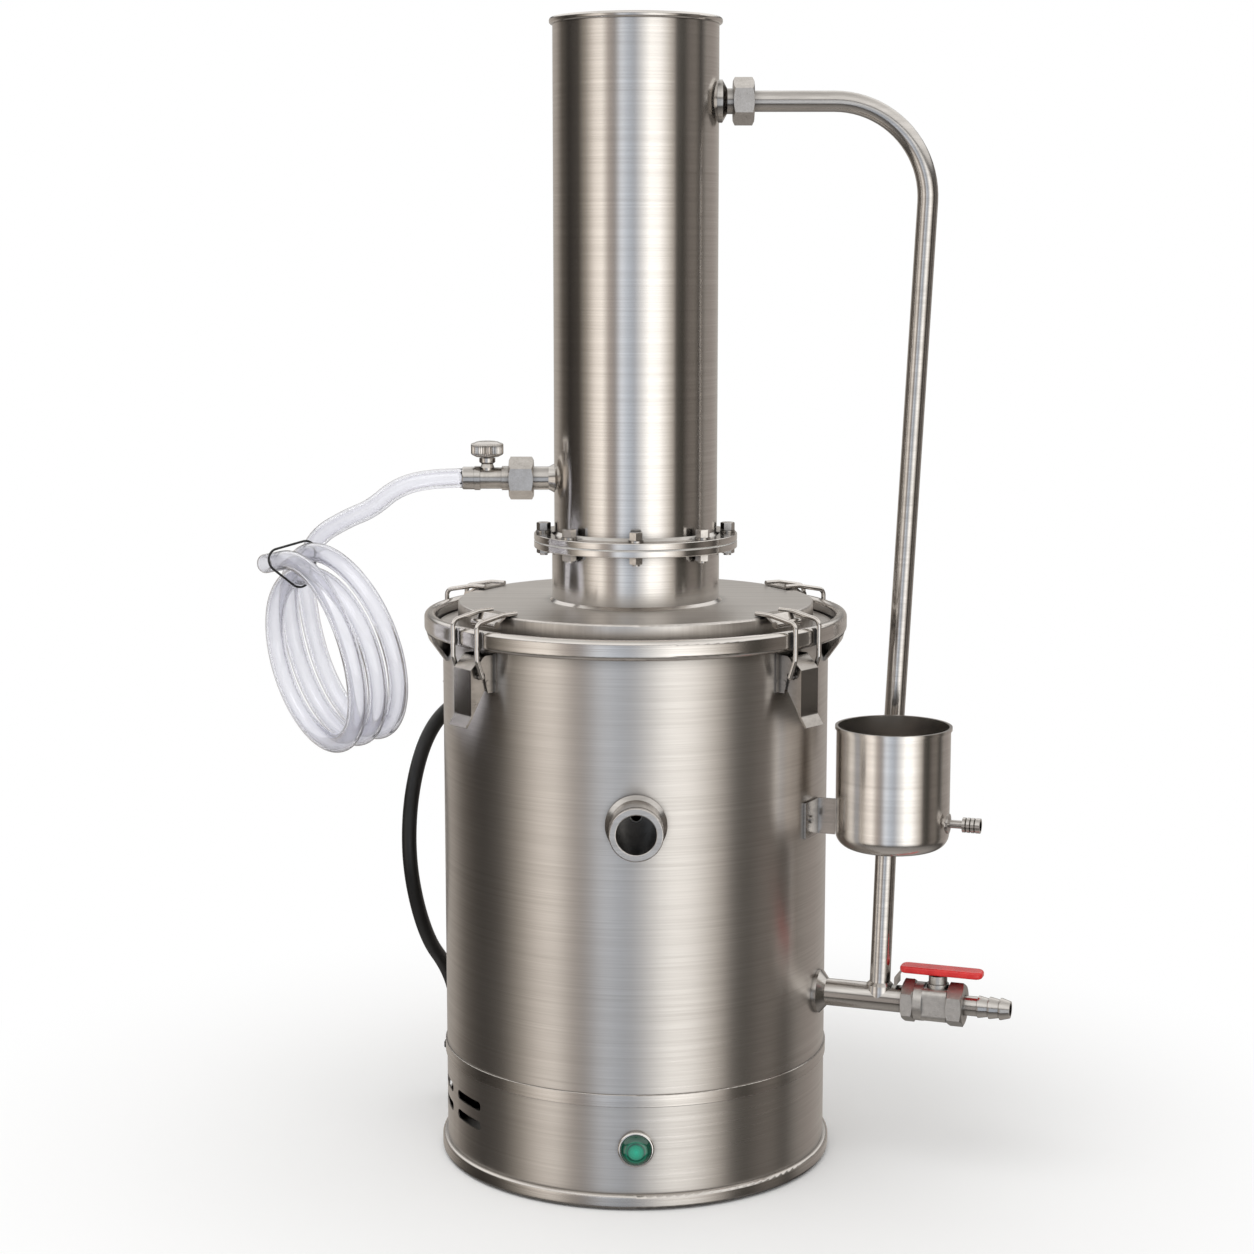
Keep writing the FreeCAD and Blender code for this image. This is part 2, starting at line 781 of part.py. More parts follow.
pins = [copy("socket_pin_%d" % index, pin,
             around("90", "pot_radius + inlet_flange_thickness - inlet_recess - skirt_wall",
                    "inlet_centre_height", "90", side="%d * inlet_pin_gap" % (index - 1)))
        for index in range(3)]
keep("mains_inlet", joined("socket_with_pins", socket_shell, *pins))

plate_top = lip_top + " + plate_thickness"
block = box("block", "block_width", "block_length", "block_height",
            at("-block_width / 2 + block_back", "-block_length / 2", plate_top))
slots = [box("block_slot_%d" % index, "block_width + 2 * overrun", "block_slot", "block_slot + overrun",
             at("-block_width / 2 + block_back - overrun",
                "-block_slot / 2 + %d * block_length / 4" % (index - 1),
                plate_top + " + block_height - block_slot"))
         for index in range(3)]
keep("terminal_block", cut("block_slotted", block, *slots))

# Boiler pot: one wall with its floor welded in; holes for the heater, drain, spout and sensor.
floor_low = "pot_floor_height - pot_floor_thickness"
pot_shell = turned("pot_shell", [
    ("pot_radius", "seam_height"),
    ("pot_radius", "pot_height"),
    ("pot_radius - pot_wall", "pot_height"),
    ("pot_radius - pot_wall", "pot_floor_height"),
    ("0", "pot_floor_height"),
    ("0", floor_low),
    ("pot_radius - pot_wall", floor_low),
    ("pot_radius - pot_wall", "seam_height")])
heater_hole = cylinder("heater_hole", "heater_radius + fit", "4 * overrun", at())
heater_holes = [copy("heater_hole_%d" % index, heater_hole,
                     at("heater_ring_radius", "%d * heater_leg_gap / 2" % side, floor_low + " - overrun"))
                for index, side in enumerate((-1, 1))]
drain_hole = cylinder("drain_hole", "drain_bore", "4 * overrun",
                      around(DRAIN, "pot_radius - 2 * overrun", "drain_height", "90"))
spout_hole = cylinder("spout_hole", "spout_bore + spout_wall + fit", "4 * overrun",
                      around("-90", "pot_radius - 2 * overrun", "spout_height", "90"))
keep("boiler_pot", cut("pot_holed", pot_shell, drain_hole, spout_hole, *heater_holes))

heater_ring = doc.addObject("Part::Torus", "heater_ring")
bind(heater_ring, Radius1="heater_ring_radius", Radius2="heater_radius",
     Placement=at(up="heater_height"))
heater_leg = cylinder("heater_leg", "heater_radius", "heater_height - pot_floor_height + heater_leg_depth")
legs = [copy("heater_leg_%d" % index, heater_leg,
             at("heater_ring_radius", "%d * heater_leg_gap / 2" % side,
                "pot_floor_height - heater_leg_depth"))
        for index, side in enumerate((-1, 1))]
keep("heating_element", joined("heater", heater_ring, *legs))

# Rolled rim on a ledge around the mouth, notched where the latch wires pass.
ledge = turned("rim_turned", [
    ("pot_radius", "rim_low"),
    ("rim_radius", "rim_low", "rim_round"),
    ("rim_radius", "rim_top", "rim_round"),
    ("rim_inner_radius", "rim_top", "rim_round"),
    ("rim_inner_radius", "pot_height"),
    ("pot_radius", "pot_height")])
ear_outer = "lever_half_width + ear_gap + latch_sheet"
wire_side = ear_outer + " + wire_gap + wire_radius"
LATCH_TURNS = ("-latch_front_turn", "latch_back_turn", "180 - latch_back_turn", "180 + latch_front_turn")
notch = box("rim_notch", "2 * overrun", "rim_notch_width", "rim_top")
notches = []
for number, turn in enumerate(LATCH_TURNS, start=1):
    for side in (-1, 1):
        where = around(turn, "rim_radius - rim_notch_depth", "rim_top / 2",
                       side="%d * (%s) - rim_notch_width / 2" % (side, wire_side))
        notches.append(copy("rim_notch_%d_%d" % (number, side + 2), notch, where))
keep("pot_rim", cut("rim_notched", ledge, *notches))

pull = turned("pull_turned", [
    ("pot_radius", "pull_low"),
    ("pot_radius + pull_thickness", "pull_low"),
    ("rim_radius - 2 * pull_thickness", "rim_low - pull_round - pull_thickness", "pull_round"),
    ("rim_radius - pull_thickness", "rim_low"),
    ("rim_radius - 2 * pull_thickness", "rim_low"),
    ("rim_radius - 3.2 * pull_thickness", "rim_low - pull_round", "pull_round - pull_thickness"),
    ("pot_radius", "pull_low + 1.6 * pull_thickness")], span="pull_span")
pulls = [copy("pull_%d" % index, pull, at(turn=turn))
         for index, turn in enumerate(("-pull_span / 2", "180 - pull_span / 2"))]
keep("side_pulls", group("pulls", *pulls))

# Lid: a raised disc with a skirt and a flange that presses the gasket on the ledge.
gasket_top = "pot_height + gasket_thickness"
lid = turned("lid_turned", [
    ("neck_radius - neck_wall", "lid_top - lid_sheet"),
    ("neck_radius - neck_wall", "lid_top"),
    ("lid_radius", "lid_top", "lid_round"),
    ("lid_radius", gasket_top + " + lid_sheet"),
    ("lid_flange_radius", gasket_top + " + lid_sheet"),
    ("lid_flange_radius", gasket_top),
    ("lid_radius - lid_sheet", gasket_top),
    ("lid_radius - lid_sheet", "lid_top - lid_sheet")])
keep("lid", lid)
gasket = turned("gasket_turned", [
    ("gasket_inner_radius", "pot_height"),
    ("rim_inner_radius - slide_fit", "pot_height"),
    ("rim_inner_radius - slide_fit", gasket_top),
    ("gasket_inner_radius", gasket_top)])
keep("lid_gasket", gasket)

# Neck with the lower flange, a thin joint gasket, and the column with the upper flange.
flange_high = "flange_low + flange_thickness"
neck = turned("neck_turned", [
    ("neck_radius - neck_wall", "lid_top"),
    ("neck_radius + weld_leg", "lid_top"),
    ("neck_radius", "lid_top + weld_leg"),
    ("neck_radius", "flange_low"),
    ("flange_radius", "flange_low", "flange_round"),
    ("flange_radius", flange_high, "flange_round"),
    ("neck_radius - neck_wall", flange_high)])
bolt_hole = cylinder("bolt_hole", "bolt_radius + fit", "4 * flange_thickness")
bolt_turns = ["-90 + %d * 45" % index for index in range(8)]
hole_low = "flange_low - flange_thickness"
bolt_holes = [copy("bolt_hole_%d" % index, bolt_hole, around(turn, "bolt_circle", hole_low))
              for index, turn in enumerate(bolt_turns)]
holes = joined("bolt_holes", *bolt_holes)
keep("neck", cut("neck_holed", neck, holes))

upper_low = flange_high + " + joint_thickness"
upper_high = upper_low + " + flange_thickness"
joint = turned("joint_turned", [
    ("neck_radius - neck_wall", flange_high),
    ("flange_radius - fit", flange_high),
    ("flange_radius - fit", upper_low),
    ("neck_radius - neck_wall", upper_low)])
keep("flange_gasket", cut("joint_holed", joint, holes))

cap_seat = "cap_top - cap_lip_width / 2 - cap_sheet"
column = turned("column_turned", [
    ("column_radius - column_wall", upper_low),
    ("flange_radius", upper_low, "flange_round"),
    ("flange_radius", upper_high, "flange_round"),
    ("column_radius + weld_leg", upper_high),
    ("column_radius", upper_high + " + weld_leg"),
    ("column_radius", cap_seat),
    ("column_radius - column_wall", cap_seat)])
outlet_hole = cylinder("outlet_hole", "outlet_bore", "4 * overrun",
                       around("0", "column_radius - 2 * overrun", "outlet_height", "90"))
inlet_hole = cylinder("inlet_hole", "inlet_nipple_bore", "4 * overrun",
                      around("180", "column_radius - 2 * overrun", "inlet_valve_height", "90"))
keep("condenser_shell", cut("column_holed", column, holes, outlet_hole, inlet_hole))

cap = turned("cap_turned", [
    ("0", cap_seat),
    ("column_radius", cap_seat),
    ("column_radius", "cap_low"),
    ("cap_lip_radius", "cap_low", "cap_round"),
    ("cap_lip_radius", "cap_top", "cap_round"),
    ("cap_lip_radius - cap_lip_width", "cap_top", "cap_round / 2"),
    ("cap_lip_radius - cap_lip_width", cap_seat + " + cap_sheet"),
    ("0", cap_seat + " + cap_sheet")])
keep("condenser_cap", cap)

# Eight bolts with washers through both flanges, and their nuts below.
washer = cylinder("washer", "washer_radius", "washer_thickness", at(up=upper_high))
head = hexagon("bolt_head", "bolt_head_across", "bolt_head_height", None,
               at(up=upper_high + " + washer_thickness"))
shank = cylinder("bolt_shank", "bolt_radius",
                 upper_high + " + washer_thickness - flange_low + nut_height + bolt_tail",
                 at(up="flange_low - nut_height - bolt_tail"))
bolt = joined("bolt", washer, head, shank)
bolts = [copy("bolt_%d" % index, bolt, around(turn, "bolt_circle")) for index, turn in enumerate(bolt_turns)]
keep("flange_bolts", group("bolts", *bolts))
nut = hexagon("flange_nut", "nut_across", "nut_height", "bolt_radius")
nuts = [copy("nut_%d" % index, nut, around(turn, "bolt_circle", "flange_low - nut_height"))
        for index, turn in enumerate(bolt_turns)]
keep("flange_nuts", group("nuts", *nuts))

# Inside the column: steam goes up the riser, turns over at the top and runs down six cooled tubes.
sheet_radius = "column_radius - column_wall - fit"
sheets = [cylinder("tube_sheet_%d" % index, sheet_radius, "sheet_thickness", at(up=height))
          for index, height in enumerate(("low_sheet_height", "high_sheet_height"))]
tube_length = "high_sheet_height - low_sheet_height + sheet_thickness + 2 * tube_proud"
tube = cylinder("cooling_tube", "cooling_tube_radius", tube_length)
tube_core = cylinder("cooling_core", "cooling_tube_radius - tube_wall", tube_length + " + 2 * overrun")
tubes = []
cores = []
for index in range(6):
    turn = "%d * 60" % index
    tubes.append(copy("cooling_tube_%d" % index, tube,
                      around(turn, "cooling_tube_circle", "low_sheet_height - tube_proud")))
    cores.append(copy("cooling_core_%d" % index, tube_core,
                      around(turn, "cooling_tube_circle", "low_sheet_height - tube_proud - overrun")))
riser_length = "high_sheet_height + riser_top_gap - tray_height + tray_lip"
riser = cylinder("riser", "riser_radius", riser_length, at(up="tray_height - tray_lip"))
riser_core = cylinder("riser_core", "riser_radius - tube_wall", riser_length + " + 2 * overrun",
                      at(up="tray_height - tray_lip - overrun"))
bundle = joined("bundle", riser, *(sheets + tubes))
keep("tube_bundle", cut("bundle_bored", bundle, riser_core, *cores))

tray = turned("tray_turned", [
    ("riser_radius + fit", "tray_height"),
    (sheet_radius, "tray_height"),
    (sheet_radius, "tray_height + tray_lip"),
    (sheet_radius + " - tray_sheet", "tray_height + tray_lip"),
    (sheet_radius + " - tray_sheet", "tray_height + tray_sheet"),
    ("riser_radius + fit", "tray_height + tray_sheet")])
tray_hole = cylinder("tray_hole", "product_pipe_radius + fit", "4 * overrun",
                     at("0", "-product_pipe_back", "tray_height - overrun"))
keep("distillate_tray", cut("tray_holed", tray, tray_hole))

# Distillate pipe from the tray down through the lid and out to the spout.
spout_floor = "pot_radius - spout_depth"
product_route = [
    ("-product_pipe_back", "tray_height + tray_sheet"),
    ("-product_pipe_back", "spout_height", "product_bend"),
    ("-(" + spout_floor + " + spout_wall / 2)", "spout_height")]
product_places = at(turn="90", roll="90")
product_rods = [put(bent("product_rod_%d" % index, product_route, radius, "Y"), product_places)
                for index, radius in enumerate(("product_pipe_radius", "product_pipe_bore"))]
keep("distillate_pipe", cut("product_pipe", *product_rods))

spout_end = "pot_radius + spout_reach"
spout = turned("spout_turned", [
    ("spout_bore", "pot_radius - overrun"),
    ("spout_collar_radius", "pot_radius - overrun"),
    ("spout_collar_radius", "pot_radius + spout_collar_length"),
    ("spout_radius", "pot_radius + spout_collar_length + spout_taper"),
    ("spout_radius", spout_end + " - spout_lip_length - spout_groove_width"),
    ("spout_radius - spout_groove_depth", spout_end + " - spout_lip_length - spout_groove_width"),
    ("spout_radius - spout_groove_depth", spout_end + " - spout_lip_length"),
    ("spout_radius", spout_end + " - spout_lip_length"),
    ("spout_radius", spout_end, "spout_round"),
    ("spout_bore", spout_end, "spout_round")], around("-90", "0", "spout_height", "90"))
spout_socket = turned("spout_socket", [
    ("product_pipe_radius + fit", spout_floor),
    ("spout_bore + spout_wall", spout_floor),
    ("spout_bore + spout_wall", "pot_radius + spout_collar_length"),
    ("spout_bore", "pot_radius + spout_collar_length"),
    ("spout_bore", spout_floor + " + spout_wall"),
    ("product_pipe_radius + fit", spout_floor + " + spout_wall")], around("-90", "0", "spout_height", "90"))
keep("spout", joined("spout_whole", cut("spout_seated", spout, POT_SPACE), spout_socket))

# Water outlet: a nipple welded to the column, its union nut, and the return pipe to the cup.
outlet_face = "column_radius + outlet_nut_start"
nipple_end = outlet_face + " + outlet_nut_length / 2"
outlet = turned("outlet_turned", [
    ("outlet_bore", "column_radius - overrun"),
    ("outlet_collar_radius", "column_radius - overrun"),
    ("outlet_collar_radius", "column_radius + outlet_collar_length"),
    ("outlet_neck_radius", "column_radius + outlet_collar_length + outlet_taper"),
    ("outlet_neck_radius", nipple_end),
    ("outlet_bore", nipple_end)], around("0", "0", "outlet_height", "90"))
outlet_nipple = cut("outlet_nipple_seated", outlet, COLUMN_SPACE)
inlet_face = "column_radius + inlet_nut_start"
inlet_meet = inlet_face + " + inlet_nut_length / 2"
inlet = turned("inlet_turned", [
    ("inlet_nipple_bore", "column_radius - overrun"),
    ("inlet_collar_radius", "column_radius - overrun"),
    ("inlet_nipple_radius", "column_radius + inlet_collar_length"),
    ("inlet_nipple_radius", inlet_meet),
    ("inlet_nipple_bore", inlet_meet)], around("180", "0", "inlet_valve_height", "90"))
inlet_nipple = cut("inlet_nipple_seated", inlet, COLUMN_SPACE)
keep("column_nipples", group("nipples", outlet_nipple, inlet_nipple))

outlet_nut_blank = hexagon("outlet_nut", "outlet_nut_across", "outlet_nut_length", "return_radius + fit",
                           around("0", outlet_face, "outlet_height", "90"))
nut_room = cylinder("nut_room", "outlet_neck_radius + fit", "outlet_nut_length - outlet_nut_lip + overrun",
                    around("0", outlet_face + " - overrun", "outlet_height", "90"))
keep("outlet_union_nut", cut("outlet_nut_bored", outlet_nut_blank, nut_room))
keep("inlet_union_nut", hexagon("inlet_nut", "inlet_nut_across", "inlet_nut_length",
                                "inlet_nipple_radius + fit",
                                around("180", inlet_face, "inlet_valve_height", "90")))

lean = "atan((return_top_reach - return_foot_reach) / (outlet_height - return_low))"
elbow_roll = "90 deg - " + lean
return_route = [
    (nipple_end + " + fit", "outlet_height"),
    ("return_top_reach", "outlet_height", "return_bend"),
    ("return_foot_reach + return_elbow_leg * sin(%s)" % lean,
     "return_low + return_elbow_leg * cos(%s)" % lean)]
elbow_end = "-cup_out * sin(drain_turn) + cup_radius"
elbow_route = [
    ("0", "return_elbow_leg"),
    ("0", "0", "return_elbow"),
    (elbow_end + " - cup_wall - return_tail", "0")]
pipes = []
for index, radius in enumerate(("return_radius", "return_bore")):
    upper = put(bent("return_upper_%d" % index, return_route, radius, "X"), at(roll="90"))
    elbow = put(bent("return_elbow_%d" % index, elbow_route, radius, "Y"),
                at("return_foot_reach", "0", "return_low", "90", "0", elbow_roll))
    pipes.append(joined("return_rod_%d" % index, upper, elbow))
keep("return_pipe", cut("return_pipe_bored", *pipes))

# Needle valve on the water inlet: tail, body and hose ferrule in line, with its neck upright.
ring_start = inlet_face + " + inlet_nut_length"
body_start = ring_start + " + tail_ring_length"
ferrule_start = body_start + " + needle_body_length"
ferrule_end = ferrule_start + " + ferrule_length"
valve_tail = turned("valve_tail", [
    ("0", inlet_meet + " + fit"),
    ("inlet_nipple_radius", inlet_meet + " + fit"),
    ("inlet_nipple_radius", ring_start + " + fit"),
    ("tail_ring_radius", ring_start + " + fit"),
    ("tail_ring_radius", body_start),
    ("needle_body_radius", body_start),
    ("needle_body_radius", ferrule_start),
    ("0", ferrule_start)], around("180", "0", "inlet_valve_height", "90"))
stem_reach = ferrule_start + " - stem_back"
stem_place = around("180", stem_reach, "inlet_valve_height")
valve_neck = turned("valve_neck", [
    ("0", "0"),
    ("neck_cone_radius", "0"),
    ("neck_cone_radius", "needle_body_radius"),
    ("neck_waist_radius", "neck_waist_rise"),
    ("neck_collar_radius", "neck_collar_rise"),
    ("neck_collar_radius", "neck_top_rise"),
    ("0", "neck_top_rise")], stem_place)
valve_way = cylinder("valve_way", "inlet_nipple_bore", "4 * inlet_nut_length",
                     around("180", inlet_meet + " - overrun", "inlet_valve_height", "90"))
spindle_way = cylinder("spindle_way", "spindle_radius + slide_fit", "neck_top_rise + overrun", stem_place)
keep("needle_valve_body", cut("needle_body_bored", joined("needle_body_blank", valve_tail, valve_neck),
                              valve_way, spindle_way))

ferrule = turned("ferrule_turned", [
    ("inlet_nipple_bore", ferrule_start),
    ("ferrule_radius + ferrule_step", ferrule_start),
    ("ferrule_radius + ferrule_step", ferrule_start + " + ferrule_step_length"),
    ("ferrule_radius", ferrule_start + " + ferrule_step_length"),
    ("ferrule_radius", ferrule_end, "ferrule_round"),
    ("inlet_nipple_bore", ferrule_end)], around("180", "0", "inlet_valve_height", "90"))
keep("hose_ferrule", ferrule)

knob_low = "neck_top_rise + knob_gap"
knob_high = knob_low + " + 2 * knob_bevel + knob_band"
spindle = turned("spindle_turned", [
    ("0", "-inlet_nipple_bore + slide_fit"),
    ("spindle_radius", "needle_tip_length"),
    ("spindle_radius", knob_low + " + knob_bevel + knob_band / 2"),
    ("0", knob_low + " + knob_bevel + knob_band / 2")], stem_place)
keep("valve_needle", spindle)
knob = turned("knob_turned", [
    ("0", knob_low),
    ("knob_radius - 1.6 * knob_bevel", knob_low),
    ("knob_radius", knob_low + " + knob_bevel"),
    ("knob_radius", knob_low + " + knob_bevel + knob_band"),
    ("knob_dome_radius", knob_high),
    ("0", knob_high)], stem_place)
keep("needle_knob", cut("knob_bored", knob, cylinder("knob_bore", "spindle_radius + slide_fit",
                                                     knob_low + " + knob_bevel + knob_band / 2", stem_place)))

# Water cup beside the pot, held by a strap, fed by the return pipe and drained by the standpipe.
cup = turned("cup_turned", [
    ("0", "cup_low"),
    ("cup_radius", "cup_low", "cup_corner"),
    ("cup_radius", "cup_top - cup_lip_height"),
    ("cup_radius + cup_lip", "cup_top - cup_lip_height"),
    ("cup_radius + cup_lip", "cup_top"),
    ("cup_radius - cup_wall", "cup_top"),
    ("cup_radius - cup_wall", "cup_low + cup_wall", "cup_corner - cup_wall"),
    ("0", "cup_low + cup_wall")], around(DRAIN, "cup_out"))
stand_lean = "atan((standpipe_top_out - standpipe_out) / (cup_low - drain_height))"
stand_place = around(DRAIN, "standpipe_out", "drain_height", stand_lean)
stand_length = "cup_low - drain_height + cup_wall + overrun / 2"
stand_hole = cylinder("stand_hole", "standpipe_radius + fit", "2 * (%s)" % stand_length, stand_place)
return_hole = cylinder("return_hole", "return_radius + fit", "cup_radius",
                       at("return_foot_reach", "0", "return_low", "-90", "90"))
nozzle_hole = cylinder("nozzle_hole", "nozzle_pipe_radius", "2 * cup_radius",
                       around(DRAIN, "cup_out", "nozzle_height", "90"))
keep("water_cup", cut("cup_holed", cup, stand_hole, return_hole, nozzle_hole))
CUP_SPACE = cylinder("cup_space", "cup_radius", "cup_top", around(DRAIN, "cup_out"))

web = box("strap_web", "cup_out - pot_radius", "bracket_thickness", "bracket_height",
          around(DRAIN, "pot_radius", "bracket_low", side="-bracket_aside"))
wing = turned("strap_wing", [
    ("pot_radius", "bracket_low"),
    ("pot_radius + bracket_thickness", "bracket_low"),
    ("pot_radius + bracket_thickness", "bracket_low + bracket_height"),
    ("pot_radius", "bracket_low + bracket_height")],
    at(turn="-(drain_turn + bracket_span) * 1 deg - asin((bracket_aside - bracket_thickness) / pot_radius)"),
    span="bracket_span")
wing_rivet = cylinder("wing_rivet", "rivet_radius", "bracket_thickness + rivet_rise",
                      around("-drain_turn - bracket_span", "pot_radius",
                             "bracket_low + bracket_height / 2", "90"))
strap = joined("cup_strap", cut("web_seated", web, CUP_SPACE, POT_SPACE), wing,
               cut("rivet_seated", wing_rivet, POT_SPACE))
keep("cup_bracket", strap)

nozzle_start = "cup_out + cup_radius"
barrel_start = nozzle_start + " + nozzle_collar_length + nozzle_pipe_length"
nozzle_corners = [
    ("nozzle_bore", "cup_out"),
    ("nozzle_collar_radius", "cup_out"),
    ("nozzle_collar_radius", nozzle_start + " + nozzle_collar_length / 2"),
    ("nozzle_pipe_radius", nozzle_start + " + nozzle_collar_length"),
    ("nozzle_pipe_radius", barrel_start)]
for rib in range(3):
    low = barrel_start + " + nozzle_barrel_length * %d / 4" % rib
    nozzle_corners.append(("nozzle_barrel_radius", low))
    nozzle_corners.append(("nozzle_barrel_radius", low + " + nozzle_barrel_length / 6"))
    groove_end = low + " + nozzle_barrel_length / 5"
    nozzle_corners.append(("nozzle_barrel_radius - nozzle_groove_depth", groove_end))
nozzle_corners.append(("nozzle_barrel_radius", barrel_start + " + nozzle_barrel_length * 3 / 4"))
nozzle_corners.append(("nozzle_barrel_radius", barrel_start + " + nozzle_barrel_length"))
nozzle_corners.append(("nozzle_mouth", barrel_start + " + nozzle_barrel_length"))
nozzle_corners.append(("nozzle_mouth", barrel_start + " + nozzle_barrel_length / 5"))
nozzle_corners.append(("nozzle_bore", barrel_start + " + nozzle_barrel_length / 5"))
nozzle = turned("nozzle_turned", nozzle_corners, around(DRAIN, "0", "nozzle_height", "90"))
keep("overflow_nozzle", cut("nozzle_seated", nozzle, CUP_SPACE))

# Drain pipe out of the pot with the standpipe saddled on it.
drain = turned("drain_turned", [
    ("drain_bore", "pot_radius - overrun"),
    ("drain_collar_radius", "pot_radius - overrun"),
    ("drain_collar_radius", "pot_radius + drain_collar_length"),
    ("drain_radius", "pot_radius + drain_collar_length + drain_taper"),
    ("drain_radius", "valve_start"),
    ("drain_bore", "valve_start")], around(DRAIN, "0", "drain_height", "90"))
tee_hole = cylinder("tee_hole", "standpipe_bore", "2 * drain_radius", stand_place)
keep("drain_pipe", cut("drain_seated", drain, POT_SPACE, tee_hole))
stand = cylinder("stand_rod", "standpipe_radius", stand_length, stand_place)
stand_core = cylinder("stand_core", "standpipe_bore", "2 * (%s)" % stand_length, stand_place)
stand_foot = turned("stand_weld", [
    ("0", "0"),
    ("standpipe_radius + standpipe_weld", "0"),
    ("standpipe_radius + standpipe_weld", "drain_radius"),
    ("standpipe_radius", "drain_radius + standpipe_weld"),
    ("0", "drain_radius + standpipe_weld")], stand_place)
drain_space = cylinder("drain_space", "drain_radius", "valve_start", around(DRAIN, "0", "drain_height", "90"))
keep("standpipe", cut("stand_saddled", joined("stand_blank", stand, stand_foot), stand_core, drain_space))

# Ball valve: hexagon tail, ring, block body with its neck, hexagon cap; ball between two seats.
block_start = "valve_start + valve_hex_length + valve_ring_length"
cap_start = block_start + " + valve_block_length + valve_cap_gap"
valve_end = cap_start + " + valve_cap_length"
tail_hex = hexagon("valve_tail_hex", "valve_hex_across", "valve_hex_length", None,
                   around(DRAIN, "valve_start", "drain_height", "90"))
tail_ring = cylinder("valve_ring", "valve_ring_radius", "valve_ring_length",
                     around(DRAIN, "valve_start + valve_hex_length", "drain_height", "90"))
block_square = pad("valve_block", "XY_Plane", [
    ("-valve_block_half", "-valve_block_half", "valve_block_round"),
    ("valve_block_half", "-valve_block_half", "valve_block_round"),
    ("valve_block_half", "valve_block_half", "valve_block_round"),
    ("-valve_block_half", "valve_block_half", "valve_block_round")],
    "valve_block_length + valve_cap_gap", around(DRAIN, block_start, "drain_height", "90"), False)
neck_tower = cylinder("valve_neck_tower", "valve_neck_radius", "valve_neck_rise",
                      around(DRAIN, "stem_out", "drain_height"))
gland_tower = cylinder("valve_gland_tower", "gland_radius", "gland_rise",
                       around(DRAIN, "stem_out", "drain_height"))
cap_hex = hexagon("valve_cap_hex", "valve_cap_across", "valve_cap_length", None,
                  around(DRAIN, cap_start, "drain_height", "90"))
valve_bore = cylinder("valve_bore", "drain_bore", valve_end + " - valve_start + 2 * overrun",
                      around(DRAIN, "valve_start - overrun", "drain_height", "90"))
seat_room = cylinder("seat_room", "seat_radius", "2 * (ball_radius + slide_fit)",
                     around(DRAIN, "stem_out - ball_radius - slide_fit", "drain_height", "90"))
stem_way = cylinder("stem_way", "valve_stem_radius + slide_fit", "gland_rise + overrun",
                    around(DRAIN, "stem_out", "drain_height"))
valve_solid = joined("valve_solid", tail_hex, tail_ring, block_square, neck_tower, gland_tower, cap_hex)
keep("valve_body", cut("valve_bored", valve_solid, valve_bore, seat_room, stem_way))

ball_blank = ball("ball_blank", "ball_radius", around(DRAIN, "stem_out", "drain_height"))
ball_way = cylinder("ball_way", "ball_bore", "4 * ball_radius",
                    around(DRAIN, "stem_out - 2 * ball_radius", "drain_height", "90"))
keep("valve_ball", cut("ball_bored", ball_blank, ball_way))
ball_space = ball("ball_space", "ball_radius + slide_fit", around(DRAIN, "stem_out", "drain_height"))
seat_way = cylinder("seat_way", "ball_bore", "4 * ball_radius",
                    around(DRAIN, "stem_out - 2 * ball_radius", "drain_height", "90"))
seats = []
for index, start in enumerate(("stem_out - ball_radius - slide_fit",
                               "stem_out + ball_radius + slide_fit - seat_length")):
    blank = cylinder("seat_blank_%d" % index, "seat_radius - fit", "seat_length",
                     around(DRAIN, start, "drain_height", "90"))
    seats.append(cut("seat_%d" % index, blank, ball_space, seat_way))
keep("valve_seats", group("seats", *seats))

valve_stem = cylinder("valve_stem_rod", "valve_stem_radius", "strap_rise - ball_radius + overrun / 4",
                      around(DRAIN, "stem_out", "drain_height + ball_radius - overrun / 4"))
keep("valve_stem", cut("valve_stem_seated", valve_stem,
                       ball("stem_seat", "ball_radius", around(DRAIN, "stem_out", "drain_height"))))

barb_corners = [
    ("barb_bore", valve_end),
    ("barb_start_radius", valve_end),
    ("barb_start_radius", valve_end + " + barb_plain")]
for barb in range(SIZES["barb_count"]):
    low = valve_end + " + barb_plain + %d * barb_pitch" % barb
    barb_corners.append(("barb_start_radius + barb_rise", low + " + barb_pitch * 0.06"))
    barb_corners.append(("barb_start_radius + barb_rise", low + " + barb_pitch * 0.18"))
    last = "barb_tip" if barb == SIZES["barb_count"] - 1 else "barb_root"
    barb_corners.append((last, low + " + barb_pitch * 0.97"))
barb_corners.append(("barb_bore", low + " + barb_pitch * 0.97"))
keep("hose_barb", turned("barb_turned", barb_corners, around(DRAIN, "0", "drain_height", "90")))

# Drain lever: a bent steel strap on the stem, with a red vinyl sleeve over its flat part.
strap_top = "strap_rise + strap_thickness"
lever_strap = pad("lever_strap", "XZ_Plane", [
    ("strap_front", "strap_rise"),
    ("strap_front", strap_top),
    ("-strap_back", strap_top, "strap_bend"),
    ("-strap_tail_reach", "(strap_rise + strap_tail_rise) / 2", "strap_bend"),
    ("-strap_tail_reach", "strap_tail_rise"),
    ("-strap_tail_reach + strap_thickness", "strap_tail_rise"),
    ("-strap_tail_reach + strap_thickness", "(strap_rise + strap_tail_rise) / 2 - fit", "strap_bend / 2"),
    ("-strap_back + fit", "strap_rise", "strap_bend / 2")],
    "2 * strap_half_width", around(DRAIN, "stem_out", "drain_height"))
keep("drain_lever", lever_strap)
sleeve = pad("sleeve_pad", "XY_Plane", [
    ("-sleeve_back", "-sleeve_half_width", "sleeve_corner"),
    ("sleeve_front", "-sleeve_half_width", "sleeve_corner"),
    ("sleeve_front", "sleeve_half_width", "sleeve_corner"),
    ("-sleeve_back", "sleeve_half_width", "sleeve_corner")], "sleeve_thickness", None, False)
doc.recompute()
sleeve_rise = sleeve.Tip
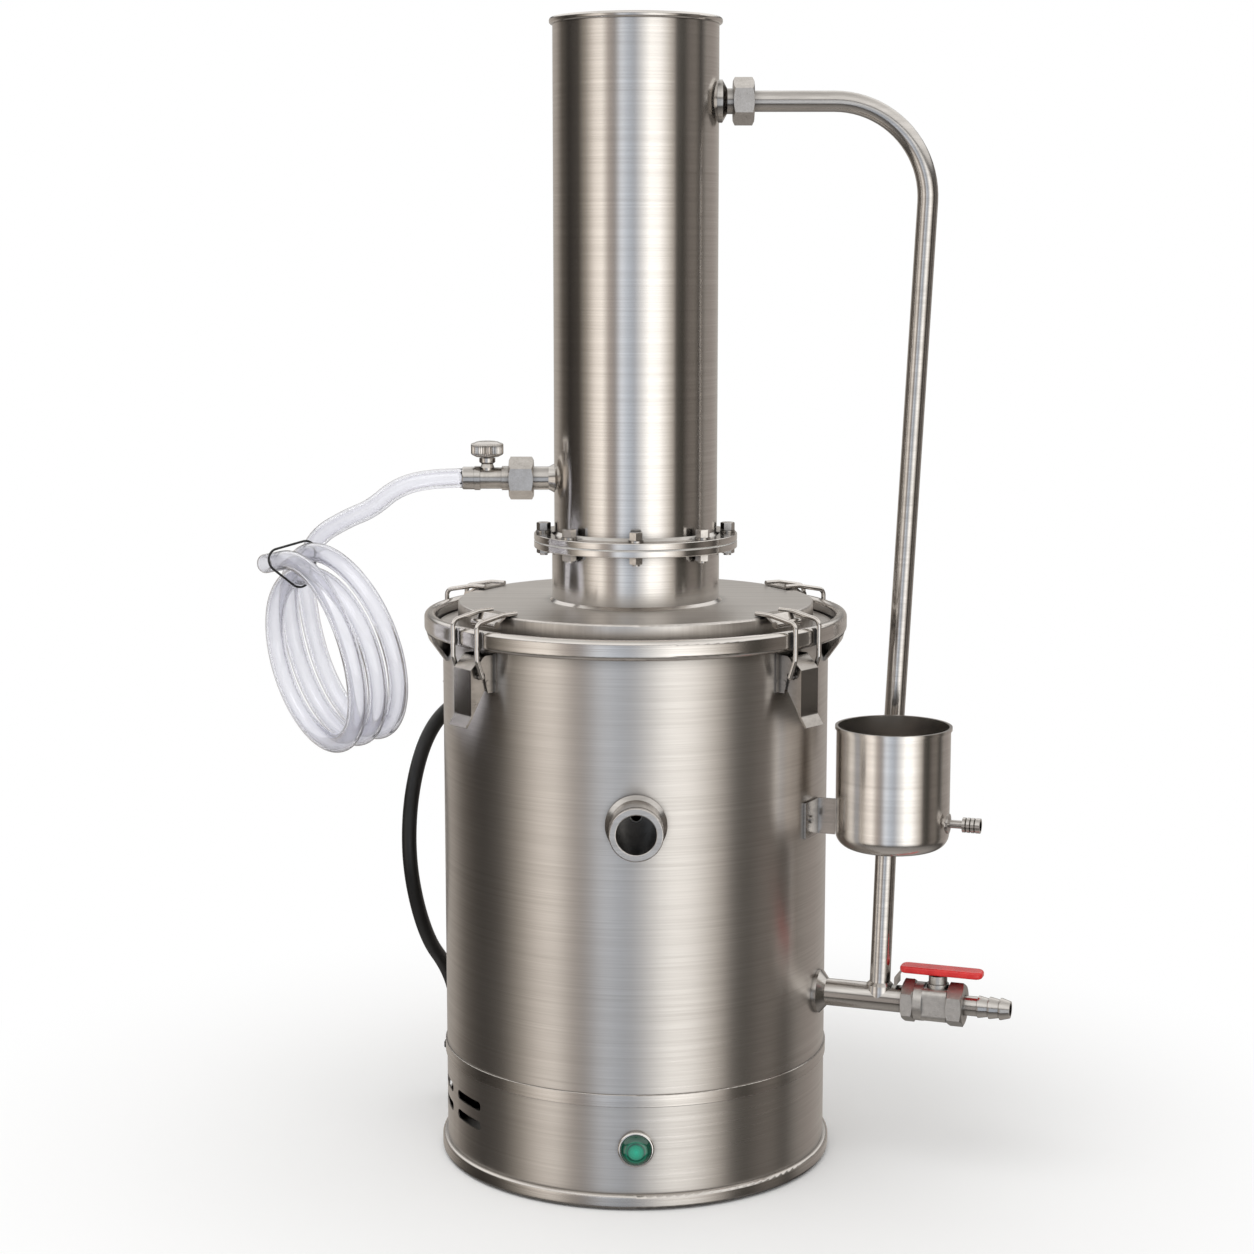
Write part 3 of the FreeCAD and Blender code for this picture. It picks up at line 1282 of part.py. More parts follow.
flats = ["Face%d" % (index + 1) for index, face in enumerate(sleeve_rise.Shape.Faces)
         if abs(face.normalAt(0, 0).z) > 0.99]
edges = sleeve.newObject("PartDesign::Fillet", "sleeve_rounds")
edges.Base = (sleeve_rise, flats)
bind(edges, Radius="sleeve_round")
put(sleeve, around(DRAIN, "stem_out", "drain_height + sleeve_low_rise"))
sleeve_stem = cylinder("sleeve_stem", "valve_stem_radius + fit", "strap_rise",
                       around(DRAIN, "stem_out", "drain_height"))
keep("lever_sleeve", cut("sleeve_cored", sleeve, lever_strap, sleeve_stem))

# Toggle latches, drawn at the latch's own turn: X out from the pot's axis, Y aside, Z up.
pivot_out = "(pot_radius + latch_pivot_out)"
pivot_up = "(rim_low - latch_pivot_drop)"
pin_out = "(pot_radius + latch_pivot_out + latch_throw * cos(latch_throw_turn))"
pin_up = "(rim_low - latch_pivot_drop - latch_throw * sin(latch_throw_turn))"
leg_out = "(rim_radius + rim_gap + wire_radius)"
claw_low = "(lid_top + lid_gap)"
claw_wire_up = "(lid_top + lid_gap + wire_radius)"


def latch_corner(out, up, *rest):
    """A corner given from the lever's pivot."""
    return (pivot_out + " + " + out, pivot_up + " + " + up) + rest


def latch_lever(number, turn):
    """Pressed lever: a channel with two cheeks, a bent top and a turned-out lip."""
    face = pad("lever_face_%d" % number, "XZ_Plane", [
        latch_corner("-lever_tab_in", "lever_tab_up"),
        latch_corner("lever_face_out", "fit", "latch_sheet"),
        latch_corner("lever_face_out", "-lever_face_drop", "2 * latch_sheet"),
        latch_corner("lever_lip_out", "-lever_lip_drop"),
        latch_corner("lever_lip_out - latch_sheet", "-lever_lip_drop - latch_sheet / 2"),
        latch_corner("lever_face_out - latch_sheet", "-lever_face_drop - latch_sheet / 2", "latch_sheet"),
        latch_corner("lever_face_out - 1.6 * latch_sheet", "-lever_face_drop + latch_sheet"),
        latch_corner("-lever_back_in / 2", "-1.4 * lever_cheek_drop"),
        latch_corner("-lever_back_in", "-lever_cheek_drop"),
        latch_corner("-lever_back_in", "lever_cheek_up"),
        latch_corner("-lever_tab_in - latch_sheet", "lever_tab_up - latch_sheet / 2")],
        "2 * lever_half_width")
    room = pad("lever_room_%d" % number, "XZ_Plane", [
        latch_corner("-lever_tab_in - 2 * latch_sheet", "lever_tab_up + 0.6 * latch_sheet"),
        latch_corner("lever_face_out - latch_sheet", "fit - latch_sheet / 2"),
        latch_corner("lever_face_out - latch_sheet", "-lever_face_drop + latch_sheet / 2"),
        latch_corner("-lever_back_in - overrun", "-lever_face_drop + latch_sheet / 2"),
        latch_corner("-lever_back_in - overrun", "lever_tab_up + 0.6 * latch_sheet")],
        "2 * (lever_half_width - latch_sheet)")
    pivot_hole = cylinder("lever_pivot_%d" % number, "latch_pin_radius + slide_fit", "4 * lever_half_width",
                          at(pivot_out, "2 * lever_half_width", pivot_up, "0", "0", "90"))
    bail_hole = cylinder("lever_bail_%d" % number, "wire_radius + slide_fit", "4 * lever_half_width",
                         at(pin_out, "2 * lever_half_width", pin_up, "0", "0", "90"))
    lever = cut("lever_cut_%d" % number, face, room, pivot_hole, bail_hole)
    return put(lever, at(turn=turn))


def latch_bail(number, turn):
    """Wire bail hooked into the lever, with the claw plate welded across its two ends."""
    route = [
        ("claw_reach", claw_wire_up),
        ("lid_radius + overrun", claw_wire_up, "wire_bend"),
        (leg_out, "rim_top + rim_gap + wire_radius + wire_crown / 2", "wire_bend"),
        (leg_out, pivot_up + " + wire_knee_rise", "wire_bend"),
        (pin_out, pin_up)]
    pieces = []
    for side in (-1, 1):
        name = "bail_%d_%d" % (number, side + 2)
        offset = "%d * (%s)" % (side, wire_side)
        rod = put(bent(name, route, "wire_radius", "X"), at(side=offset, roll="90"))
        knuckle = ball(name + "_knuckle", "wire_radius", at(pin_out, offset, pin_up))
        inner = "lever_half_width - latch_sheet"
        length = "(%s) - (%s)" % (wire_side, inner)
        toe = cylinder(name + "_toe", "wire_radius", length,
                       at(pin_out, "-(%s)" % inner if side < 0 else wire_side, pin_up, "0", "0", "90"))
        pieces.extend([rod, knuckle, toe])
    claw = pad("claw_%d" % number, "XZ_Plane", [
        ("claw_reach", claw_low),
        ("lid_radius + lid_round", claw_low, "wire_bend / 2"),
        ("claw_roll_reach", "rim_top + claw_roll_rise - claw_sheet"),
        ("claw_roll_reach", "rim_top + claw_roll_rise"),
        ("lid_radius + lid_round + claw_sheet / 2", claw_low + " + claw_sheet", "wire_bend / 2"),
        ("claw_reach", claw_low + " + claw_sheet")], "2 * (%s)" % wire_side)
    roll = cylinder("claw_roll_%d" % number, "claw_roll_radius", "2 * (%s)" % wire_side,
                    at("claw_roll_reach", wire_side, "rim_top + claw_roll_rise - claw_sheet / 2",
                       "0", "0", "90"))
    return put(joined("bail_joined_%d" % number, claw, roll, *pieces), at(turn=turn))


def latch_bracket(number, turn):
    """Bracket on the wall: a curved plate, two ears, the lever's pivot and two rivet heads."""
    ears = pad("ears_%d" % number, "XZ_Plane", [
        ("pot_radius - overrun / 4", pivot_up + " + ear_up"),
        latch_corner("-ear_in / 2", "ear_up", "ear_boss"),
        latch_corner("ear_boss", "ear_boss", "ear_boss"),
        latch_corner("ear_boss", "-ear_boss + fit", "ear_boss / 2"),
        latch_corner("-ear_boss", "-ear_boss + fit"),
        latch_corner("-ear_heel", "-ear_up"),
        latch_corner("-ear_in", "-ear_drop"),
        ("pot_radius - overrun / 4", pivot_up + " - ear_drop")],
        "2 * (%s)" % ear_outer)
    between = box("ears_gap_%d" % number, "latch_pivot_out + 2 * overrun + ear_boss",
                  "2 * (lever_half_width + ear_gap)", "ear_up + ear_drop + 2 * overrun",
                  at("pot_radius - overrun", "-lever_half_width - ear_gap",
                     pivot_up + " - ear_drop - overrun"))
    back_ring = turned("back_ring_%d" % number, [
        ("pot_radius", pivot_up + " - ear_drop"),
        ("pot_radius + bracket_plate", pivot_up + " - ear_drop"),
        ("pot_radius + bracket_plate", "rim_low"),
        ("pot_radius", "rim_low")],
        at(turn="-asin(bracket_plate_half / pot_radius)"),
        span="2 * asin(bracket_plate_half / pot_radius)")
    pivot = cylinder("latch_pin_%d" % number, "latch_pin_radius", "2 * (%s)" % ear_outer,
                     at(pivot_out, ear_outer, pivot_up, "0", "0", "90"))
    rivet = cylinder("ear_rivet_%d" % number, "latch_pin_radius", "2 * (%s + wire_gap)" % ear_outer,
                     at(pivot_out + " - ear_in", ear_outer + " + wire_gap", pivot_up + " - ear_up",
                        "0", "0", "90"))
    ear_pair = cut("ear_pair_%d" % number, joined("ears_riveted_%d" % number, ears, rivet), between)
    seated = cut("ears_seated_%d" % number, ear_pair, cylinder("latch_seat_%d" % number, "pot_radius",
                                                               "rim_top"))
    return put(joined("bracket_%d" % number, seated, back_ring, pivot), at(turn=turn))


brackets = []
for number, turn in enumerate(LATCH_TURNS, start=1):
    brackets.append(latch_bracket(number, turn))
    keep("latch_lever_%d" % number, latch_lever(number, turn))
    keep("latch_bail_%d" % number, latch_bail(number, turn))
keep("latch_brackets", group("brackets", *brackets))

# Housing of the overheat cut-out on the back of the pot: a hollow casting, open towards the wall,
# with a gland on its left side. Below it an elbow gland comes out of the skirt and points up.
housing_outline = [
    ("pot_radius - overrun", "-housing_half_width"),
    ("pot_radius + housing_depth", "-housing_half_width", "housing_round"),
    ("pot_radius + housing_depth", "housing_half_width", "housing_round"),
    ("pot_radius - overrun", "housing_half_width")]
housing_place = around("housing_turn", "0", "housing_low")
housing = pad("housing_block", "XY_Plane", housing_outline, "housing_height", housing_place, False)
housing_room = box("housing_room", "housing_depth + overrun - housing_wall",
                   "2 * (housing_half_width - housing_wall)", "housing_height - 2 * housing_wall",
                   around("housing_turn", "pot_radius - overrun", "housing_low + housing_wall",
                          side="housing_wall - housing_half_width"))
port_up = "housing_low + housing_height / 2"
port_hole = cylinder("port_hole", "gland_bore", "housing_half_width",
                     around("housing_turn", "pot_radius + housing_port_out", port_up, "0", "-90",
                            side="housing_half_width / 2"))
keep("cutout_housing", cut("housing_cored", housing, POT_SPACE, housing_room, port_hole))

gland_cone = turned("gland_cone", [
    ("gland_bore", "0"),
    ("gland_cone_radius", "0"),
    ("gland_cone_radius", "gland_length / 2"),
    ("gland_tip_radius", "gland_length"),
    ("gland_bore", "gland_length")])
gland = joined("gland", hexagon("gland_nut", "gland_hex_across", "gland_hex_length", "gland_bore"),
               gland_cone)
port_gland = copy("port_gland", gland,
                  around("housing_turn", "pot_radius + housing_port_out", port_up, "0", "-90",
                         side="housing_half_width"))
elbow_top = "elbow_height + elbow_bend + elbow_neck"
elbow_route = [
    ("pot_radius - 2 * overrun", "elbow_height"),
    ("elbow_out", "elbow_height", "elbow_bend"),
    ("elbow_out", elbow_top)]
elbow_rods = [put(bent(name, elbow_route, radius, "X"), at(turn="elbow_turn", roll="90"))
              for name, radius in (("elbow_skin", "elbow_radius"), ("elbow_core", "gland_bore"))]
elbow_seated = cut("elbow_seated", cut("elbow_bored", *elbow_rods), POT_SPACE)
elbow_gland = copy("elbow_gland", gland, around("elbow_turn", "elbow_out", elbow_top))
keep("cable_glands", group("glands", port_gland, joined("elbow_whole", elbow_seated, elbow_gland)))


def rounded_route(points):
    """Straight runs joined by tangent arcs of 0.45 of the shorter run; prints each radius."""
    edges = []
    start = points[0]
    radii = []
    for before, spot, after in zip(points, points[1:], points[2:]):
        into = unit(before, spot)
        out = unit(spot, after)
        half_turn = into.getAngle(out) / 2
        shorter = min((spot - before).Length, (after - spot).Length)
        trim = 0.45 * shorter
        radius = trim / math.tan(half_turn)
        radii.append(radius)
        inward = (out - into) / (out - into).Length
        middle = spot + inward * (radius / math.cos(half_turn))
        arc_start = spot - into * trim
        arc_end = spot + out * trim
        arc_mid = middle - inward * radius
        edges.append(Part.LineSegment(start, arc_start).toShape())
        edges.append(Part.Arc(arc_start, arc_mid, arc_end).toShape())
        start = arc_end
    edges.append(Part.LineSegment(start, points[-1]).toShape())
    return Part.Wire(edges), radii


def tube_along(name, wire, radius, start, heading):
    """A solid round tube along a wire, as one pipe shell."""
    circle = Part.Circle(start, heading, radius).toShape()
    shell = wire.makePipeShell([Part.Wire([circle])], True, False)
    ideal = math.pi * radius ** 2 * wire.Length
    share = shell.Volume / ideal
    print("%s: length %.1f, volume %.4f of its section times its length" % (name, wire.Length, share))
    item = doc.addObject("Part::Feature", name)
    item.Shape = shell
    return item


# Cable: up out of the elbow gland, bowed round the left of the pot and into the housing's gland.
def polar(turn, out, side, up):
    """A point out from the pot's axis at a turn, then aside and up."""
    facing = FreeCAD.Rotation(FreeCAD.Vector(0, 0, 1), turn)
    return facing.multVec(FreeCAD.Vector(out, side, up))


elbow_tip = polar(size("elbow_turn"), size("elbow_out"), 0, size(elbow_top + " + gland_length"))
port_tip = polar(size("housing_turn"), size("pot_radius + housing_port_out"),
                 size("housing_half_width + gland_length"), size(port_up))
port_heading = polar(size("housing_turn"), 0, 1, 0)
cable_points = [
    elbow_tip,
    elbow_tip + FreeCAD.Vector(0, 0, size("cable_start_run")),
    FreeCAD.Vector(-127.6, 93.6, 80),
    FreeCAD.Vector(-133.5, 85, 98),
    FreeCAD.Vector(-142, 70, 116),
    FreeCAD.Vector(-149, 54, 146),
    FreeCAD.Vector(-153.2, 45, 180),
    FreeCAD.Vector(-153, 47, 212),
    FreeCAD.Vector(-149, 56, 240),
    FreeCAD.Vector(-142, 70, 262),
    FreeCAD.Vector(-131, 82, 277),
    port_tip + port_heading * size("cable_end_run"),
    port_tip]
cable_wire, cable_radii = rounded_route(cable_points)
print("cable radii", ["%.0f" % radius for radius in cable_radii])
cable = tube_along("cable_tube", cable_wire, size("cable_radius"), cable_points[0],
                   cable_points[1] - cable_points[0])
keep("cutout_cable", cable)


# Clear water hose: its coil hangs beside the column as three loops side by side, turned away to
# the right. The loops are gathered at their top, where the middle one is drawn in under the tie.
coil_centre = FreeCAD.Vector(size("coil_centre_out"), size("coil_centre_back"),
                             size("inlet_valve_height - coil_drop"))
coil_facing = FreeCAD.Rotation(FreeCAD.Vector(0, 1, 0), -size("coil_lean")).multiply(
    FreeCAD.Rotation(FreeCAD.Vector(0, 0, 1), -size("coil_turn")))
coil_place = FreeCAD.Placement(coil_centre, coil_facing)
first, last = size("coil_first_share"), size("coil_last_share")
coil_radius, coil_step = size("coil_radius"), size("coil_step")
coil_draw_in, coil_gather_share = size("coil_draw_in"), size("coil_gather_share")


def coil_point(turns):
    """A point of the coil's line, in turns from its top, winding to its far side first."""
    angle = 2 * math.pi * turns
    beside = turns - 2
    held = ((1 + math.cos(angle)) / 2) ** 3
    layer = -coil_step * beside * (1 - coil_gather_share * held)
    reach = coil_radius - coil_draw_in * held * math.cos(math.pi * beside / 2) ** 2
    return coil_place.multVec(FreeCAD.Vector(-reach * math.sin(angle), layer, reach * math.cos(angle)))


def biarc(start, start_heading, end, end_heading):
    """Two arcs, tangent to each other and to both headings."""
    line = end - start
    together = start_heading + end_heading
    square = together.dot(together) - 4
    if abs(square) < 1e-9:
        reach = line.dot(line) / (4 * line.dot(end_heading))
    else:
        along = line.dot(together)
        reach = (along - math.sqrt(along ** 2 - square * line.dot(line))) / square
    first = start + start_heading * reach
    last = end - end_heading * reach
    middle = (first + last) / 2
    arcs = []
    for one, knee, two in ((start, first, middle), (middle, last, end)):
        into = unit(one, knee)
        out = unit(knee, two)
        half_turn = into.getAngle(out) / 2
        if half_turn < 1e-6:
            arcs.append(Part.LineSegment(one, two).toShape())
            continue
        inward = (out - into) / (out - into).Length
        trim = (knee - one).Length
        radius = trim / math.tan(half_turn)
        centre = knee + inward * (radius / math.cos(half_turn))
        arcs.append(Part.Arc(one, centre - inward * radius, two).toShape())
    return arcs


def heading_at(turns):
    step = 1e-4
    return unit(coil_point(turns - step), coil_point(turns + step))


quarters = math.ceil((last - first) * 4)
turns = [first + (last - first) * index / quarters for index in range(quarters + 1)]
spots = [coil_point(turn) for turn in turns]
headings = [heading_at(min(max(turn, first + 0.001), last - 0.001)) for turn in turns]
coil_edges = []
for index in range(quarters):
    coil_edges.extend(biarc(spots[index], headings[index], spots[index + 1], headings[index + 1]))
end_run = 2 * size("hose_radius")
run_in = spots[0] - headings[0] * end_run
run_out = spots[-1] + headings[-1] * end_run
coil_edges.insert(0, Part.LineSegment(run_in, spots[0]).toShape())
coil_edges.append(Part.LineSegment(spots[-1], run_out).toShape())
coil_wire = Part.Wire(coil_edges)
keep("water_hose_coil", tube_along("coil_tube", coil_wire, size("hose_radius"), run_in, headings[0]))


def self_gap(wire, radius):
    """The least gap of a tube to itself, from points along its line."""
    count = int(wire.Length / 2)
    points = wire.discretize(count)
    pitch = wire.Length / (count - 1)
    skip = int(math.pi * 2 * radius / pitch) + 2
    least = None
    for index, spot in enumerate(points):
        for other in points[index + skip:]:
            gap = (spot - other).Length - 2 * radius
            if least is None or gap < least:
                least = gap
    return least


print("coil: least gap to itself %.2f" % self_gap(coil_wire, size("hose_radius")))

hose_start = FreeCAD.Vector(-size(ferrule_end), 0, size("inlet_valve_height"))
hose_points = [
    hose_start,
    hose_start + FreeCAD.Vector(-19.5, 0, 0),
    hose_start + FreeCAD.Vector(-42.1, 1.4, -5.8),
    hose_start + FreeCAD.Vector(-59, 4.1, -20.3),
    hose_start + FreeCAD.Vector(-75.5, 11.2, -27.2),
    hose_start + FreeCAD.Vector(-98.9, 25.1, -41.3),
    run_in - headings[0] * size("hose_end_run"),
    run_in]
hose_wire, hose_radii = rounded_route(hose_points)
print("water hose radii", ["%.0f" % radius for radius in hose_radii])
hose = tube_along("hose_tube", hose_wire, size("hose_radius"), hose_start, FreeCAD.Vector(-1, 0, 0))
keep("water_hose", hose)

# Tie: a thin black band drawn round the loops just left of their top.
tie_turns = [turn + size("tie_share") for turn in (1, 2, 3)]
tie_middle = coil_point(tie_turns[0])
tie_heading = heading_at(tie_turns[0])
tie_frame = FreeCAD.Placement(tie_middle, FreeCAD.Rotation(FreeCAD.Vector(0, 0, 1), tie_heading))
tie_spots = []
for turn in tie_turns:
    local = tie_frame.inverse().multVec(coil_point(turn))
    tie_spots.append(FreeCAD.Vector(local.x, local.y, 0))
middle = sum(tie_spots, FreeCAD.Vector()) / len(tie_spots)
tie_spots.sort(key=lambda spot: math.atan2(spot.y - middle.y, spot.x - middle.x))
core = Part.Face(Part.makePolygon(tie_spots + tie_spots[:1]))
inner = core.makeOffset2D(size("hose_radius + tie_gap"))
outer = core.makeOffset2D(size("hose_radius + tie_gap + tie_wire"))
tie_band = outer.cut(inner).extrude(FreeCAD.Vector(0, 0, size("tie_wire")))
tie = doc.addObject("Part::Feature", "tie_band")
tie.Shape = tie_band
tie.Placement = tie_frame
keep("hose_tie", tie)

doc.recompute()
broken = []
for item in doc.Objects:
    if "Invalid" in item.State or "Error" in item.State:
        broken.append(item.Name + " " + str(item.State))
for name, item in kept.items():
    shape = item.Shape
    if shape.isNull() or not shape.isValid() or not shape.Solids:
        broken.append(name + " has no valid shape")
if broken:
    raise SystemExit("\n".join(broken))

os.makedirs("parts", exist_ok=True)
for name, item in kept.items():
    item.Shape.exportStep(os.path.join("parts", item.Label + ".step"))
    print("%-20s %3d solids %12.1f mm3" % (name, len(item.Shape.Solids), item.Shape.Volume))
print(len(kept), "sub-parts")
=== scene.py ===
import math

import bmesh
import bpy
from mathutils import Matrix, Vector


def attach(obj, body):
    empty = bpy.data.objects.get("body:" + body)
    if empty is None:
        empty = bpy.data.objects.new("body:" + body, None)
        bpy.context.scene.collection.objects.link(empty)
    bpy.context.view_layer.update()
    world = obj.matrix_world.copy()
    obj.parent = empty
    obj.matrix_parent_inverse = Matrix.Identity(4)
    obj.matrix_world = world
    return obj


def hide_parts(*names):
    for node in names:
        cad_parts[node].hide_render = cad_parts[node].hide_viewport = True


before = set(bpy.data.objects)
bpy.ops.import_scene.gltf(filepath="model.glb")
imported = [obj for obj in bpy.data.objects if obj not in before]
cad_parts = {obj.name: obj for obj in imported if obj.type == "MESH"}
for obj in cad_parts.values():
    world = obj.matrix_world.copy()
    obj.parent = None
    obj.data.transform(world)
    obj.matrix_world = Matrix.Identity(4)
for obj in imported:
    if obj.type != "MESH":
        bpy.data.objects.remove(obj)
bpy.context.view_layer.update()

# The camera stands about 1.6 m in front of the still, a little above the lid, looking down
# at it, as in the photograph. Its frame is square.
frame_pixels = 1254
focal_pixels = 2500.6
camera_place = (-0.00556, -1.6077, 0.5902)
camera_pitch = 0.15
camera_data = bpy.data.cameras.new("studio_camera")
camera_data.sensor_width = 36
camera_data.lens = focal_pixels * camera_data.sensor_width / frame_pixels
camera_data.clip_start = 0.05
camera = bpy.data.objects.new("studio_camera", camera_data)
camera.location = camera_place
camera.rotation_euler = (math.pi / 2 - camera_pitch, 0, 0)
bpy.context.scene.collection.objects.link(camera)
bpy.context.scene.camera = camera
bpy.context.scene.view_settings.view_transform = "Standard"

# The water hose is clear soft vinyl, 12.5 mm across with a 1.9 mm wall. It slips into the
# ferrule of the needle valve, droops to the left and hangs in three loops side by side,
# drawn together at their top.
hose_radius = 0.00625
hose_wall = 0.0019
hose_start = Vector((-0.1117, 0, 0.4443))
hose_offsets = [(0, 0, 0), (-0.0195, 0, 0), (-0.0421, 0.0014, -0.0058),
                (-0.059, 0.0041, -0.0203), (-0.0755, 0.0112, -0.0272),
                (-0.0989, 0.0251, -0.0413)]
hose_end_run = 0.0235
hose_straight = 2 * hose_radius
coil_radius = 0.062
coil_step = 0.015
coil_draw_in = 0.013
coil_gather_share = 0.35
coil_first, coil_middle, coil_last = 0.227, 2, 3.04
coil_points_per_turn = 16
coil_centre = (-0.202, -0.018, 0.336)
coil_lean, coil_turn = math.radians(-13), math.radians(-56)
coil_place = (Matrix.Translation(coil_centre) @ Matrix.Rotation(coil_lean, 4, "Y")
              @ Matrix.Rotation(coil_turn, 4, "Z"))


def coil_point(turns, swell=1.0):
    """A point of the coil, counted in turns from its top, winding to its far side first."""
    angle = 2 * math.pi * turns
    beside = turns - coil_middle
    held = ((1 + math.cos(angle)) / 2) ** 3
    layer = -coil_step * beside * (1 - coil_gather_share * held)
    drawn_in = coil_draw_in * held * math.cos(math.pi * beside / 2) ** 2
    reach = (coil_radius - drawn_in) * swell
    return coil_place @ Vector((-reach * math.sin(angle), layer, reach * math.cos(angle)))


def cord_piece(name, points, radius):
    """A round cord whose middle follows a quadratic NURBS route."""
    data = bpy.data.curves.new(name, "CURVE")
    data.dimensions = "3D"
    spline = data.splines.new("NURBS")
    spline.points.add(len(points) - 1)
    for control, point in zip(spline.points, points):
        control.co = (*point, 1)
    spline.order_u = 3
    spline.use_endpoint_u = True
    spline.resolution_u = 10
    data.bevel_depth = radius
    data.bevel_resolution = 14
    piece = bpy.data.objects.new(name, data)
    bpy.context.scene.collection.objects.link(piece)
    return piece


# The route's control points lie a little outside the coil, because it cuts their corners.
coil_count = round((coil_last - coil_first) * coil_points_per_turn)
corner_cut = 1 / math.cos(math.pi / coil_points_per_turn) ** 0.5
wound = [coil_point(coil_first + (coil_last - coil_first) * index / coil_count, corner_cut)
         for index in range(coil_count + 1)]
coil_start = coil_point(coil_first)
just_after = coil_point(coil_first + 1e-4)
run_in = coil_start - (just_after - coil_start).normalized() * hose_straight
into_coil = (coil_start - run_in).normalized()
hose_route = [hose_start + Vector(offset) for offset in hose_offsets]
hose_route.extend([run_in - into_coil * hose_end_run, run_in])
free_end = wound[-1] + (wound[-1] - wound[-2]).normalized() * hose_straight
clear_hose = cord_piece("clear_hose", [*hose_route, *wound, free_end], hose_radius)
wall = clear_hose.modifiers.new("wall", "SOLIDIFY")
wall.thickness = hose_wall
wall.offset = -1


def feed(tree, node, inputs):
    """Set a node's inputs, each to a plain value or from another node's output."""
    for name, value in inputs.items():
        if isinstance(value, bpy.types.NodeSocket):
            tree.links.new(value, node.inputs[name])
        else:
            node.inputs[name].default_value = value


def add_node(tree, kind, inputs=None, **settings):
    made = tree.nodes.new(kind)
    for name, value in settings.items():
        setattr(made, name, value)
    feed(tree, made, inputs or {})
    return made


def new_material(name):
    """A material, its nodes, its Principled shader and the place on the piece to start from."""
    material = bpy.data.materials.new(name)
    material.use_nodes = True
    tree = material.node_tree
    place = add_node(tree, "ShaderNodeTexCoord").outputs["Object"]
    return material, tree, tree.nodes["Principled BSDF"], place


def noise(tree, place, scale, detail):
    return add_node(tree, "ShaderNodeTexNoise", {"Vector": place, "Scale": scale,
                                                 "Detail": detail}).outputs["Fac"]


def ramp(tree, factor, *stops):
    """A colour ramp over stops of (place, grey) or (place, red, green, blue)."""
    made = add_node(tree, "ShaderNodeValToRGB", {"Fac": factor})
    elements = made.color_ramp.elements
    elements.remove(elements[1])
    for index, (place, *colour) in enumerate(stops):
        element = elements.new(place) if index else elements[0]
        element.position = place
        element.color = (*(colour * 3)[:3], 1)
    return made.outputs["Color"]


# Vinyl is a little hazy. Its colour greys where it is seen edge on, partly a tint through more of
# its wall and partly painted shade at the tube's edges.
vinyl, tree, shader, place = new_material("clear_vinyl")
haze = noise(tree, place, 30, 3)
edge = add_node(tree, "ShaderNodeLayerWeight", {"Blend": 0.35}).outputs["Facing"]
tint_and_edge_shade = ramp(tree, edge, (0, 0.95, 0.95, 0.975), (0.4, 0.84, 0.84, 0.885),
            (0.75, 0.5, 0.495, 0.545), (1, 0.26, 0.255, 0.29))
feed(tree, shader, {"Base Color": tint_and_edge_shade, "Roughness": ramp(tree, haze, (0.35, 0.06), (0.75, 0.12)),
                    "Transmission Weight": 0.95, "IOR": 1.22, "Coat Weight": 1,
                    "Coat Roughness": 0.05})
clear_hose.data.materials.append(vinyl)
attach(clear_hose, "root")
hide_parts("water_hose", "water_hose_coil")

# The cable to the overheat cut-out is round black rubber, 10 mm across. It comes up out of the
# elbow gland, bows round the left of the boiler and goes into the housing behind it.
cable_radius = 0.005
cable_route = [(-0.12535, 0.09618, 0.048), (-0.12535, 0.09618, 0.062), (-0.1276, 0.0936, 0.08),
               (-0.1335, 0.085, 0.098), (-0.142, 0.07, 0.116), (-0.149, 0.054, 0.146),
               (-0.1532, 0.045, 0.18), (-0.153, 0.047, 0.212), (-0.149, 0.056, 0.24),
               (-0.142, 0.07, 0.262), (-0.131, 0.082, 0.277), (-0.1133, 0.0938, 0.287),
               (-0.09475, 0.10365, 0.287)]
black_cable = cord_piece("black_cable", cable_route, cable_radius)


def relief(tree, height, strength, depth):
    return add_node(tree, "ShaderNodeBump", {"Height": height, "Strength": strength,
                                             "Distance": depth}).outputs["Normal"]


def soft_black(name, shade, smooth, rough, grain_depth):
    """Black rubber or plastic: a faint moulded grain, and a bloom that dulls it in patches."""
    material, tree, shader, place = new_material(name)
    bloom = noise(tree, place, 45, 5)
    moulded_grain = noise(tree, place, 2400, 2)
    bloomed_shade = shade * 2.2
    feed(tree, shader, {"Base Color": ramp(tree, bloom, (0.3, shade), (0.75, bloomed_shade)),
                        "Roughness": ramp(tree, bloom, (0.3, smooth), (0.75, rough)),
                        "Normal": relief(tree, moulded_grain, 0.5, grain_depth)})
    return material


cable_rubber = soft_black("cable_rubber", 0.006, 0.3, 0.5, 0.00004)
black_cable.data.materials.append(cable_rubber)
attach(black_cable, "root")
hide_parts("cutout_cable")


# The studio is a white background with soft light all round. For the steel to mirror, it has
# upright bright and dark panels, such as stand round a steel pot when it is photographed.
def calc(tree, operation, *values):
    return add_node(tree, "ShaderNodeMath", dict(enumerate(values)),
                    operation=operation).outputs[0]


def span(tree, value, low, high, **settings):
    """How far a value has come from low to high, as 0 to 1."""
    return add_node(tree, "ShaderNodeMapRange", {"Value": value, "From Min": low,
                                                 "From Max": high}, **settings).outputs[0]


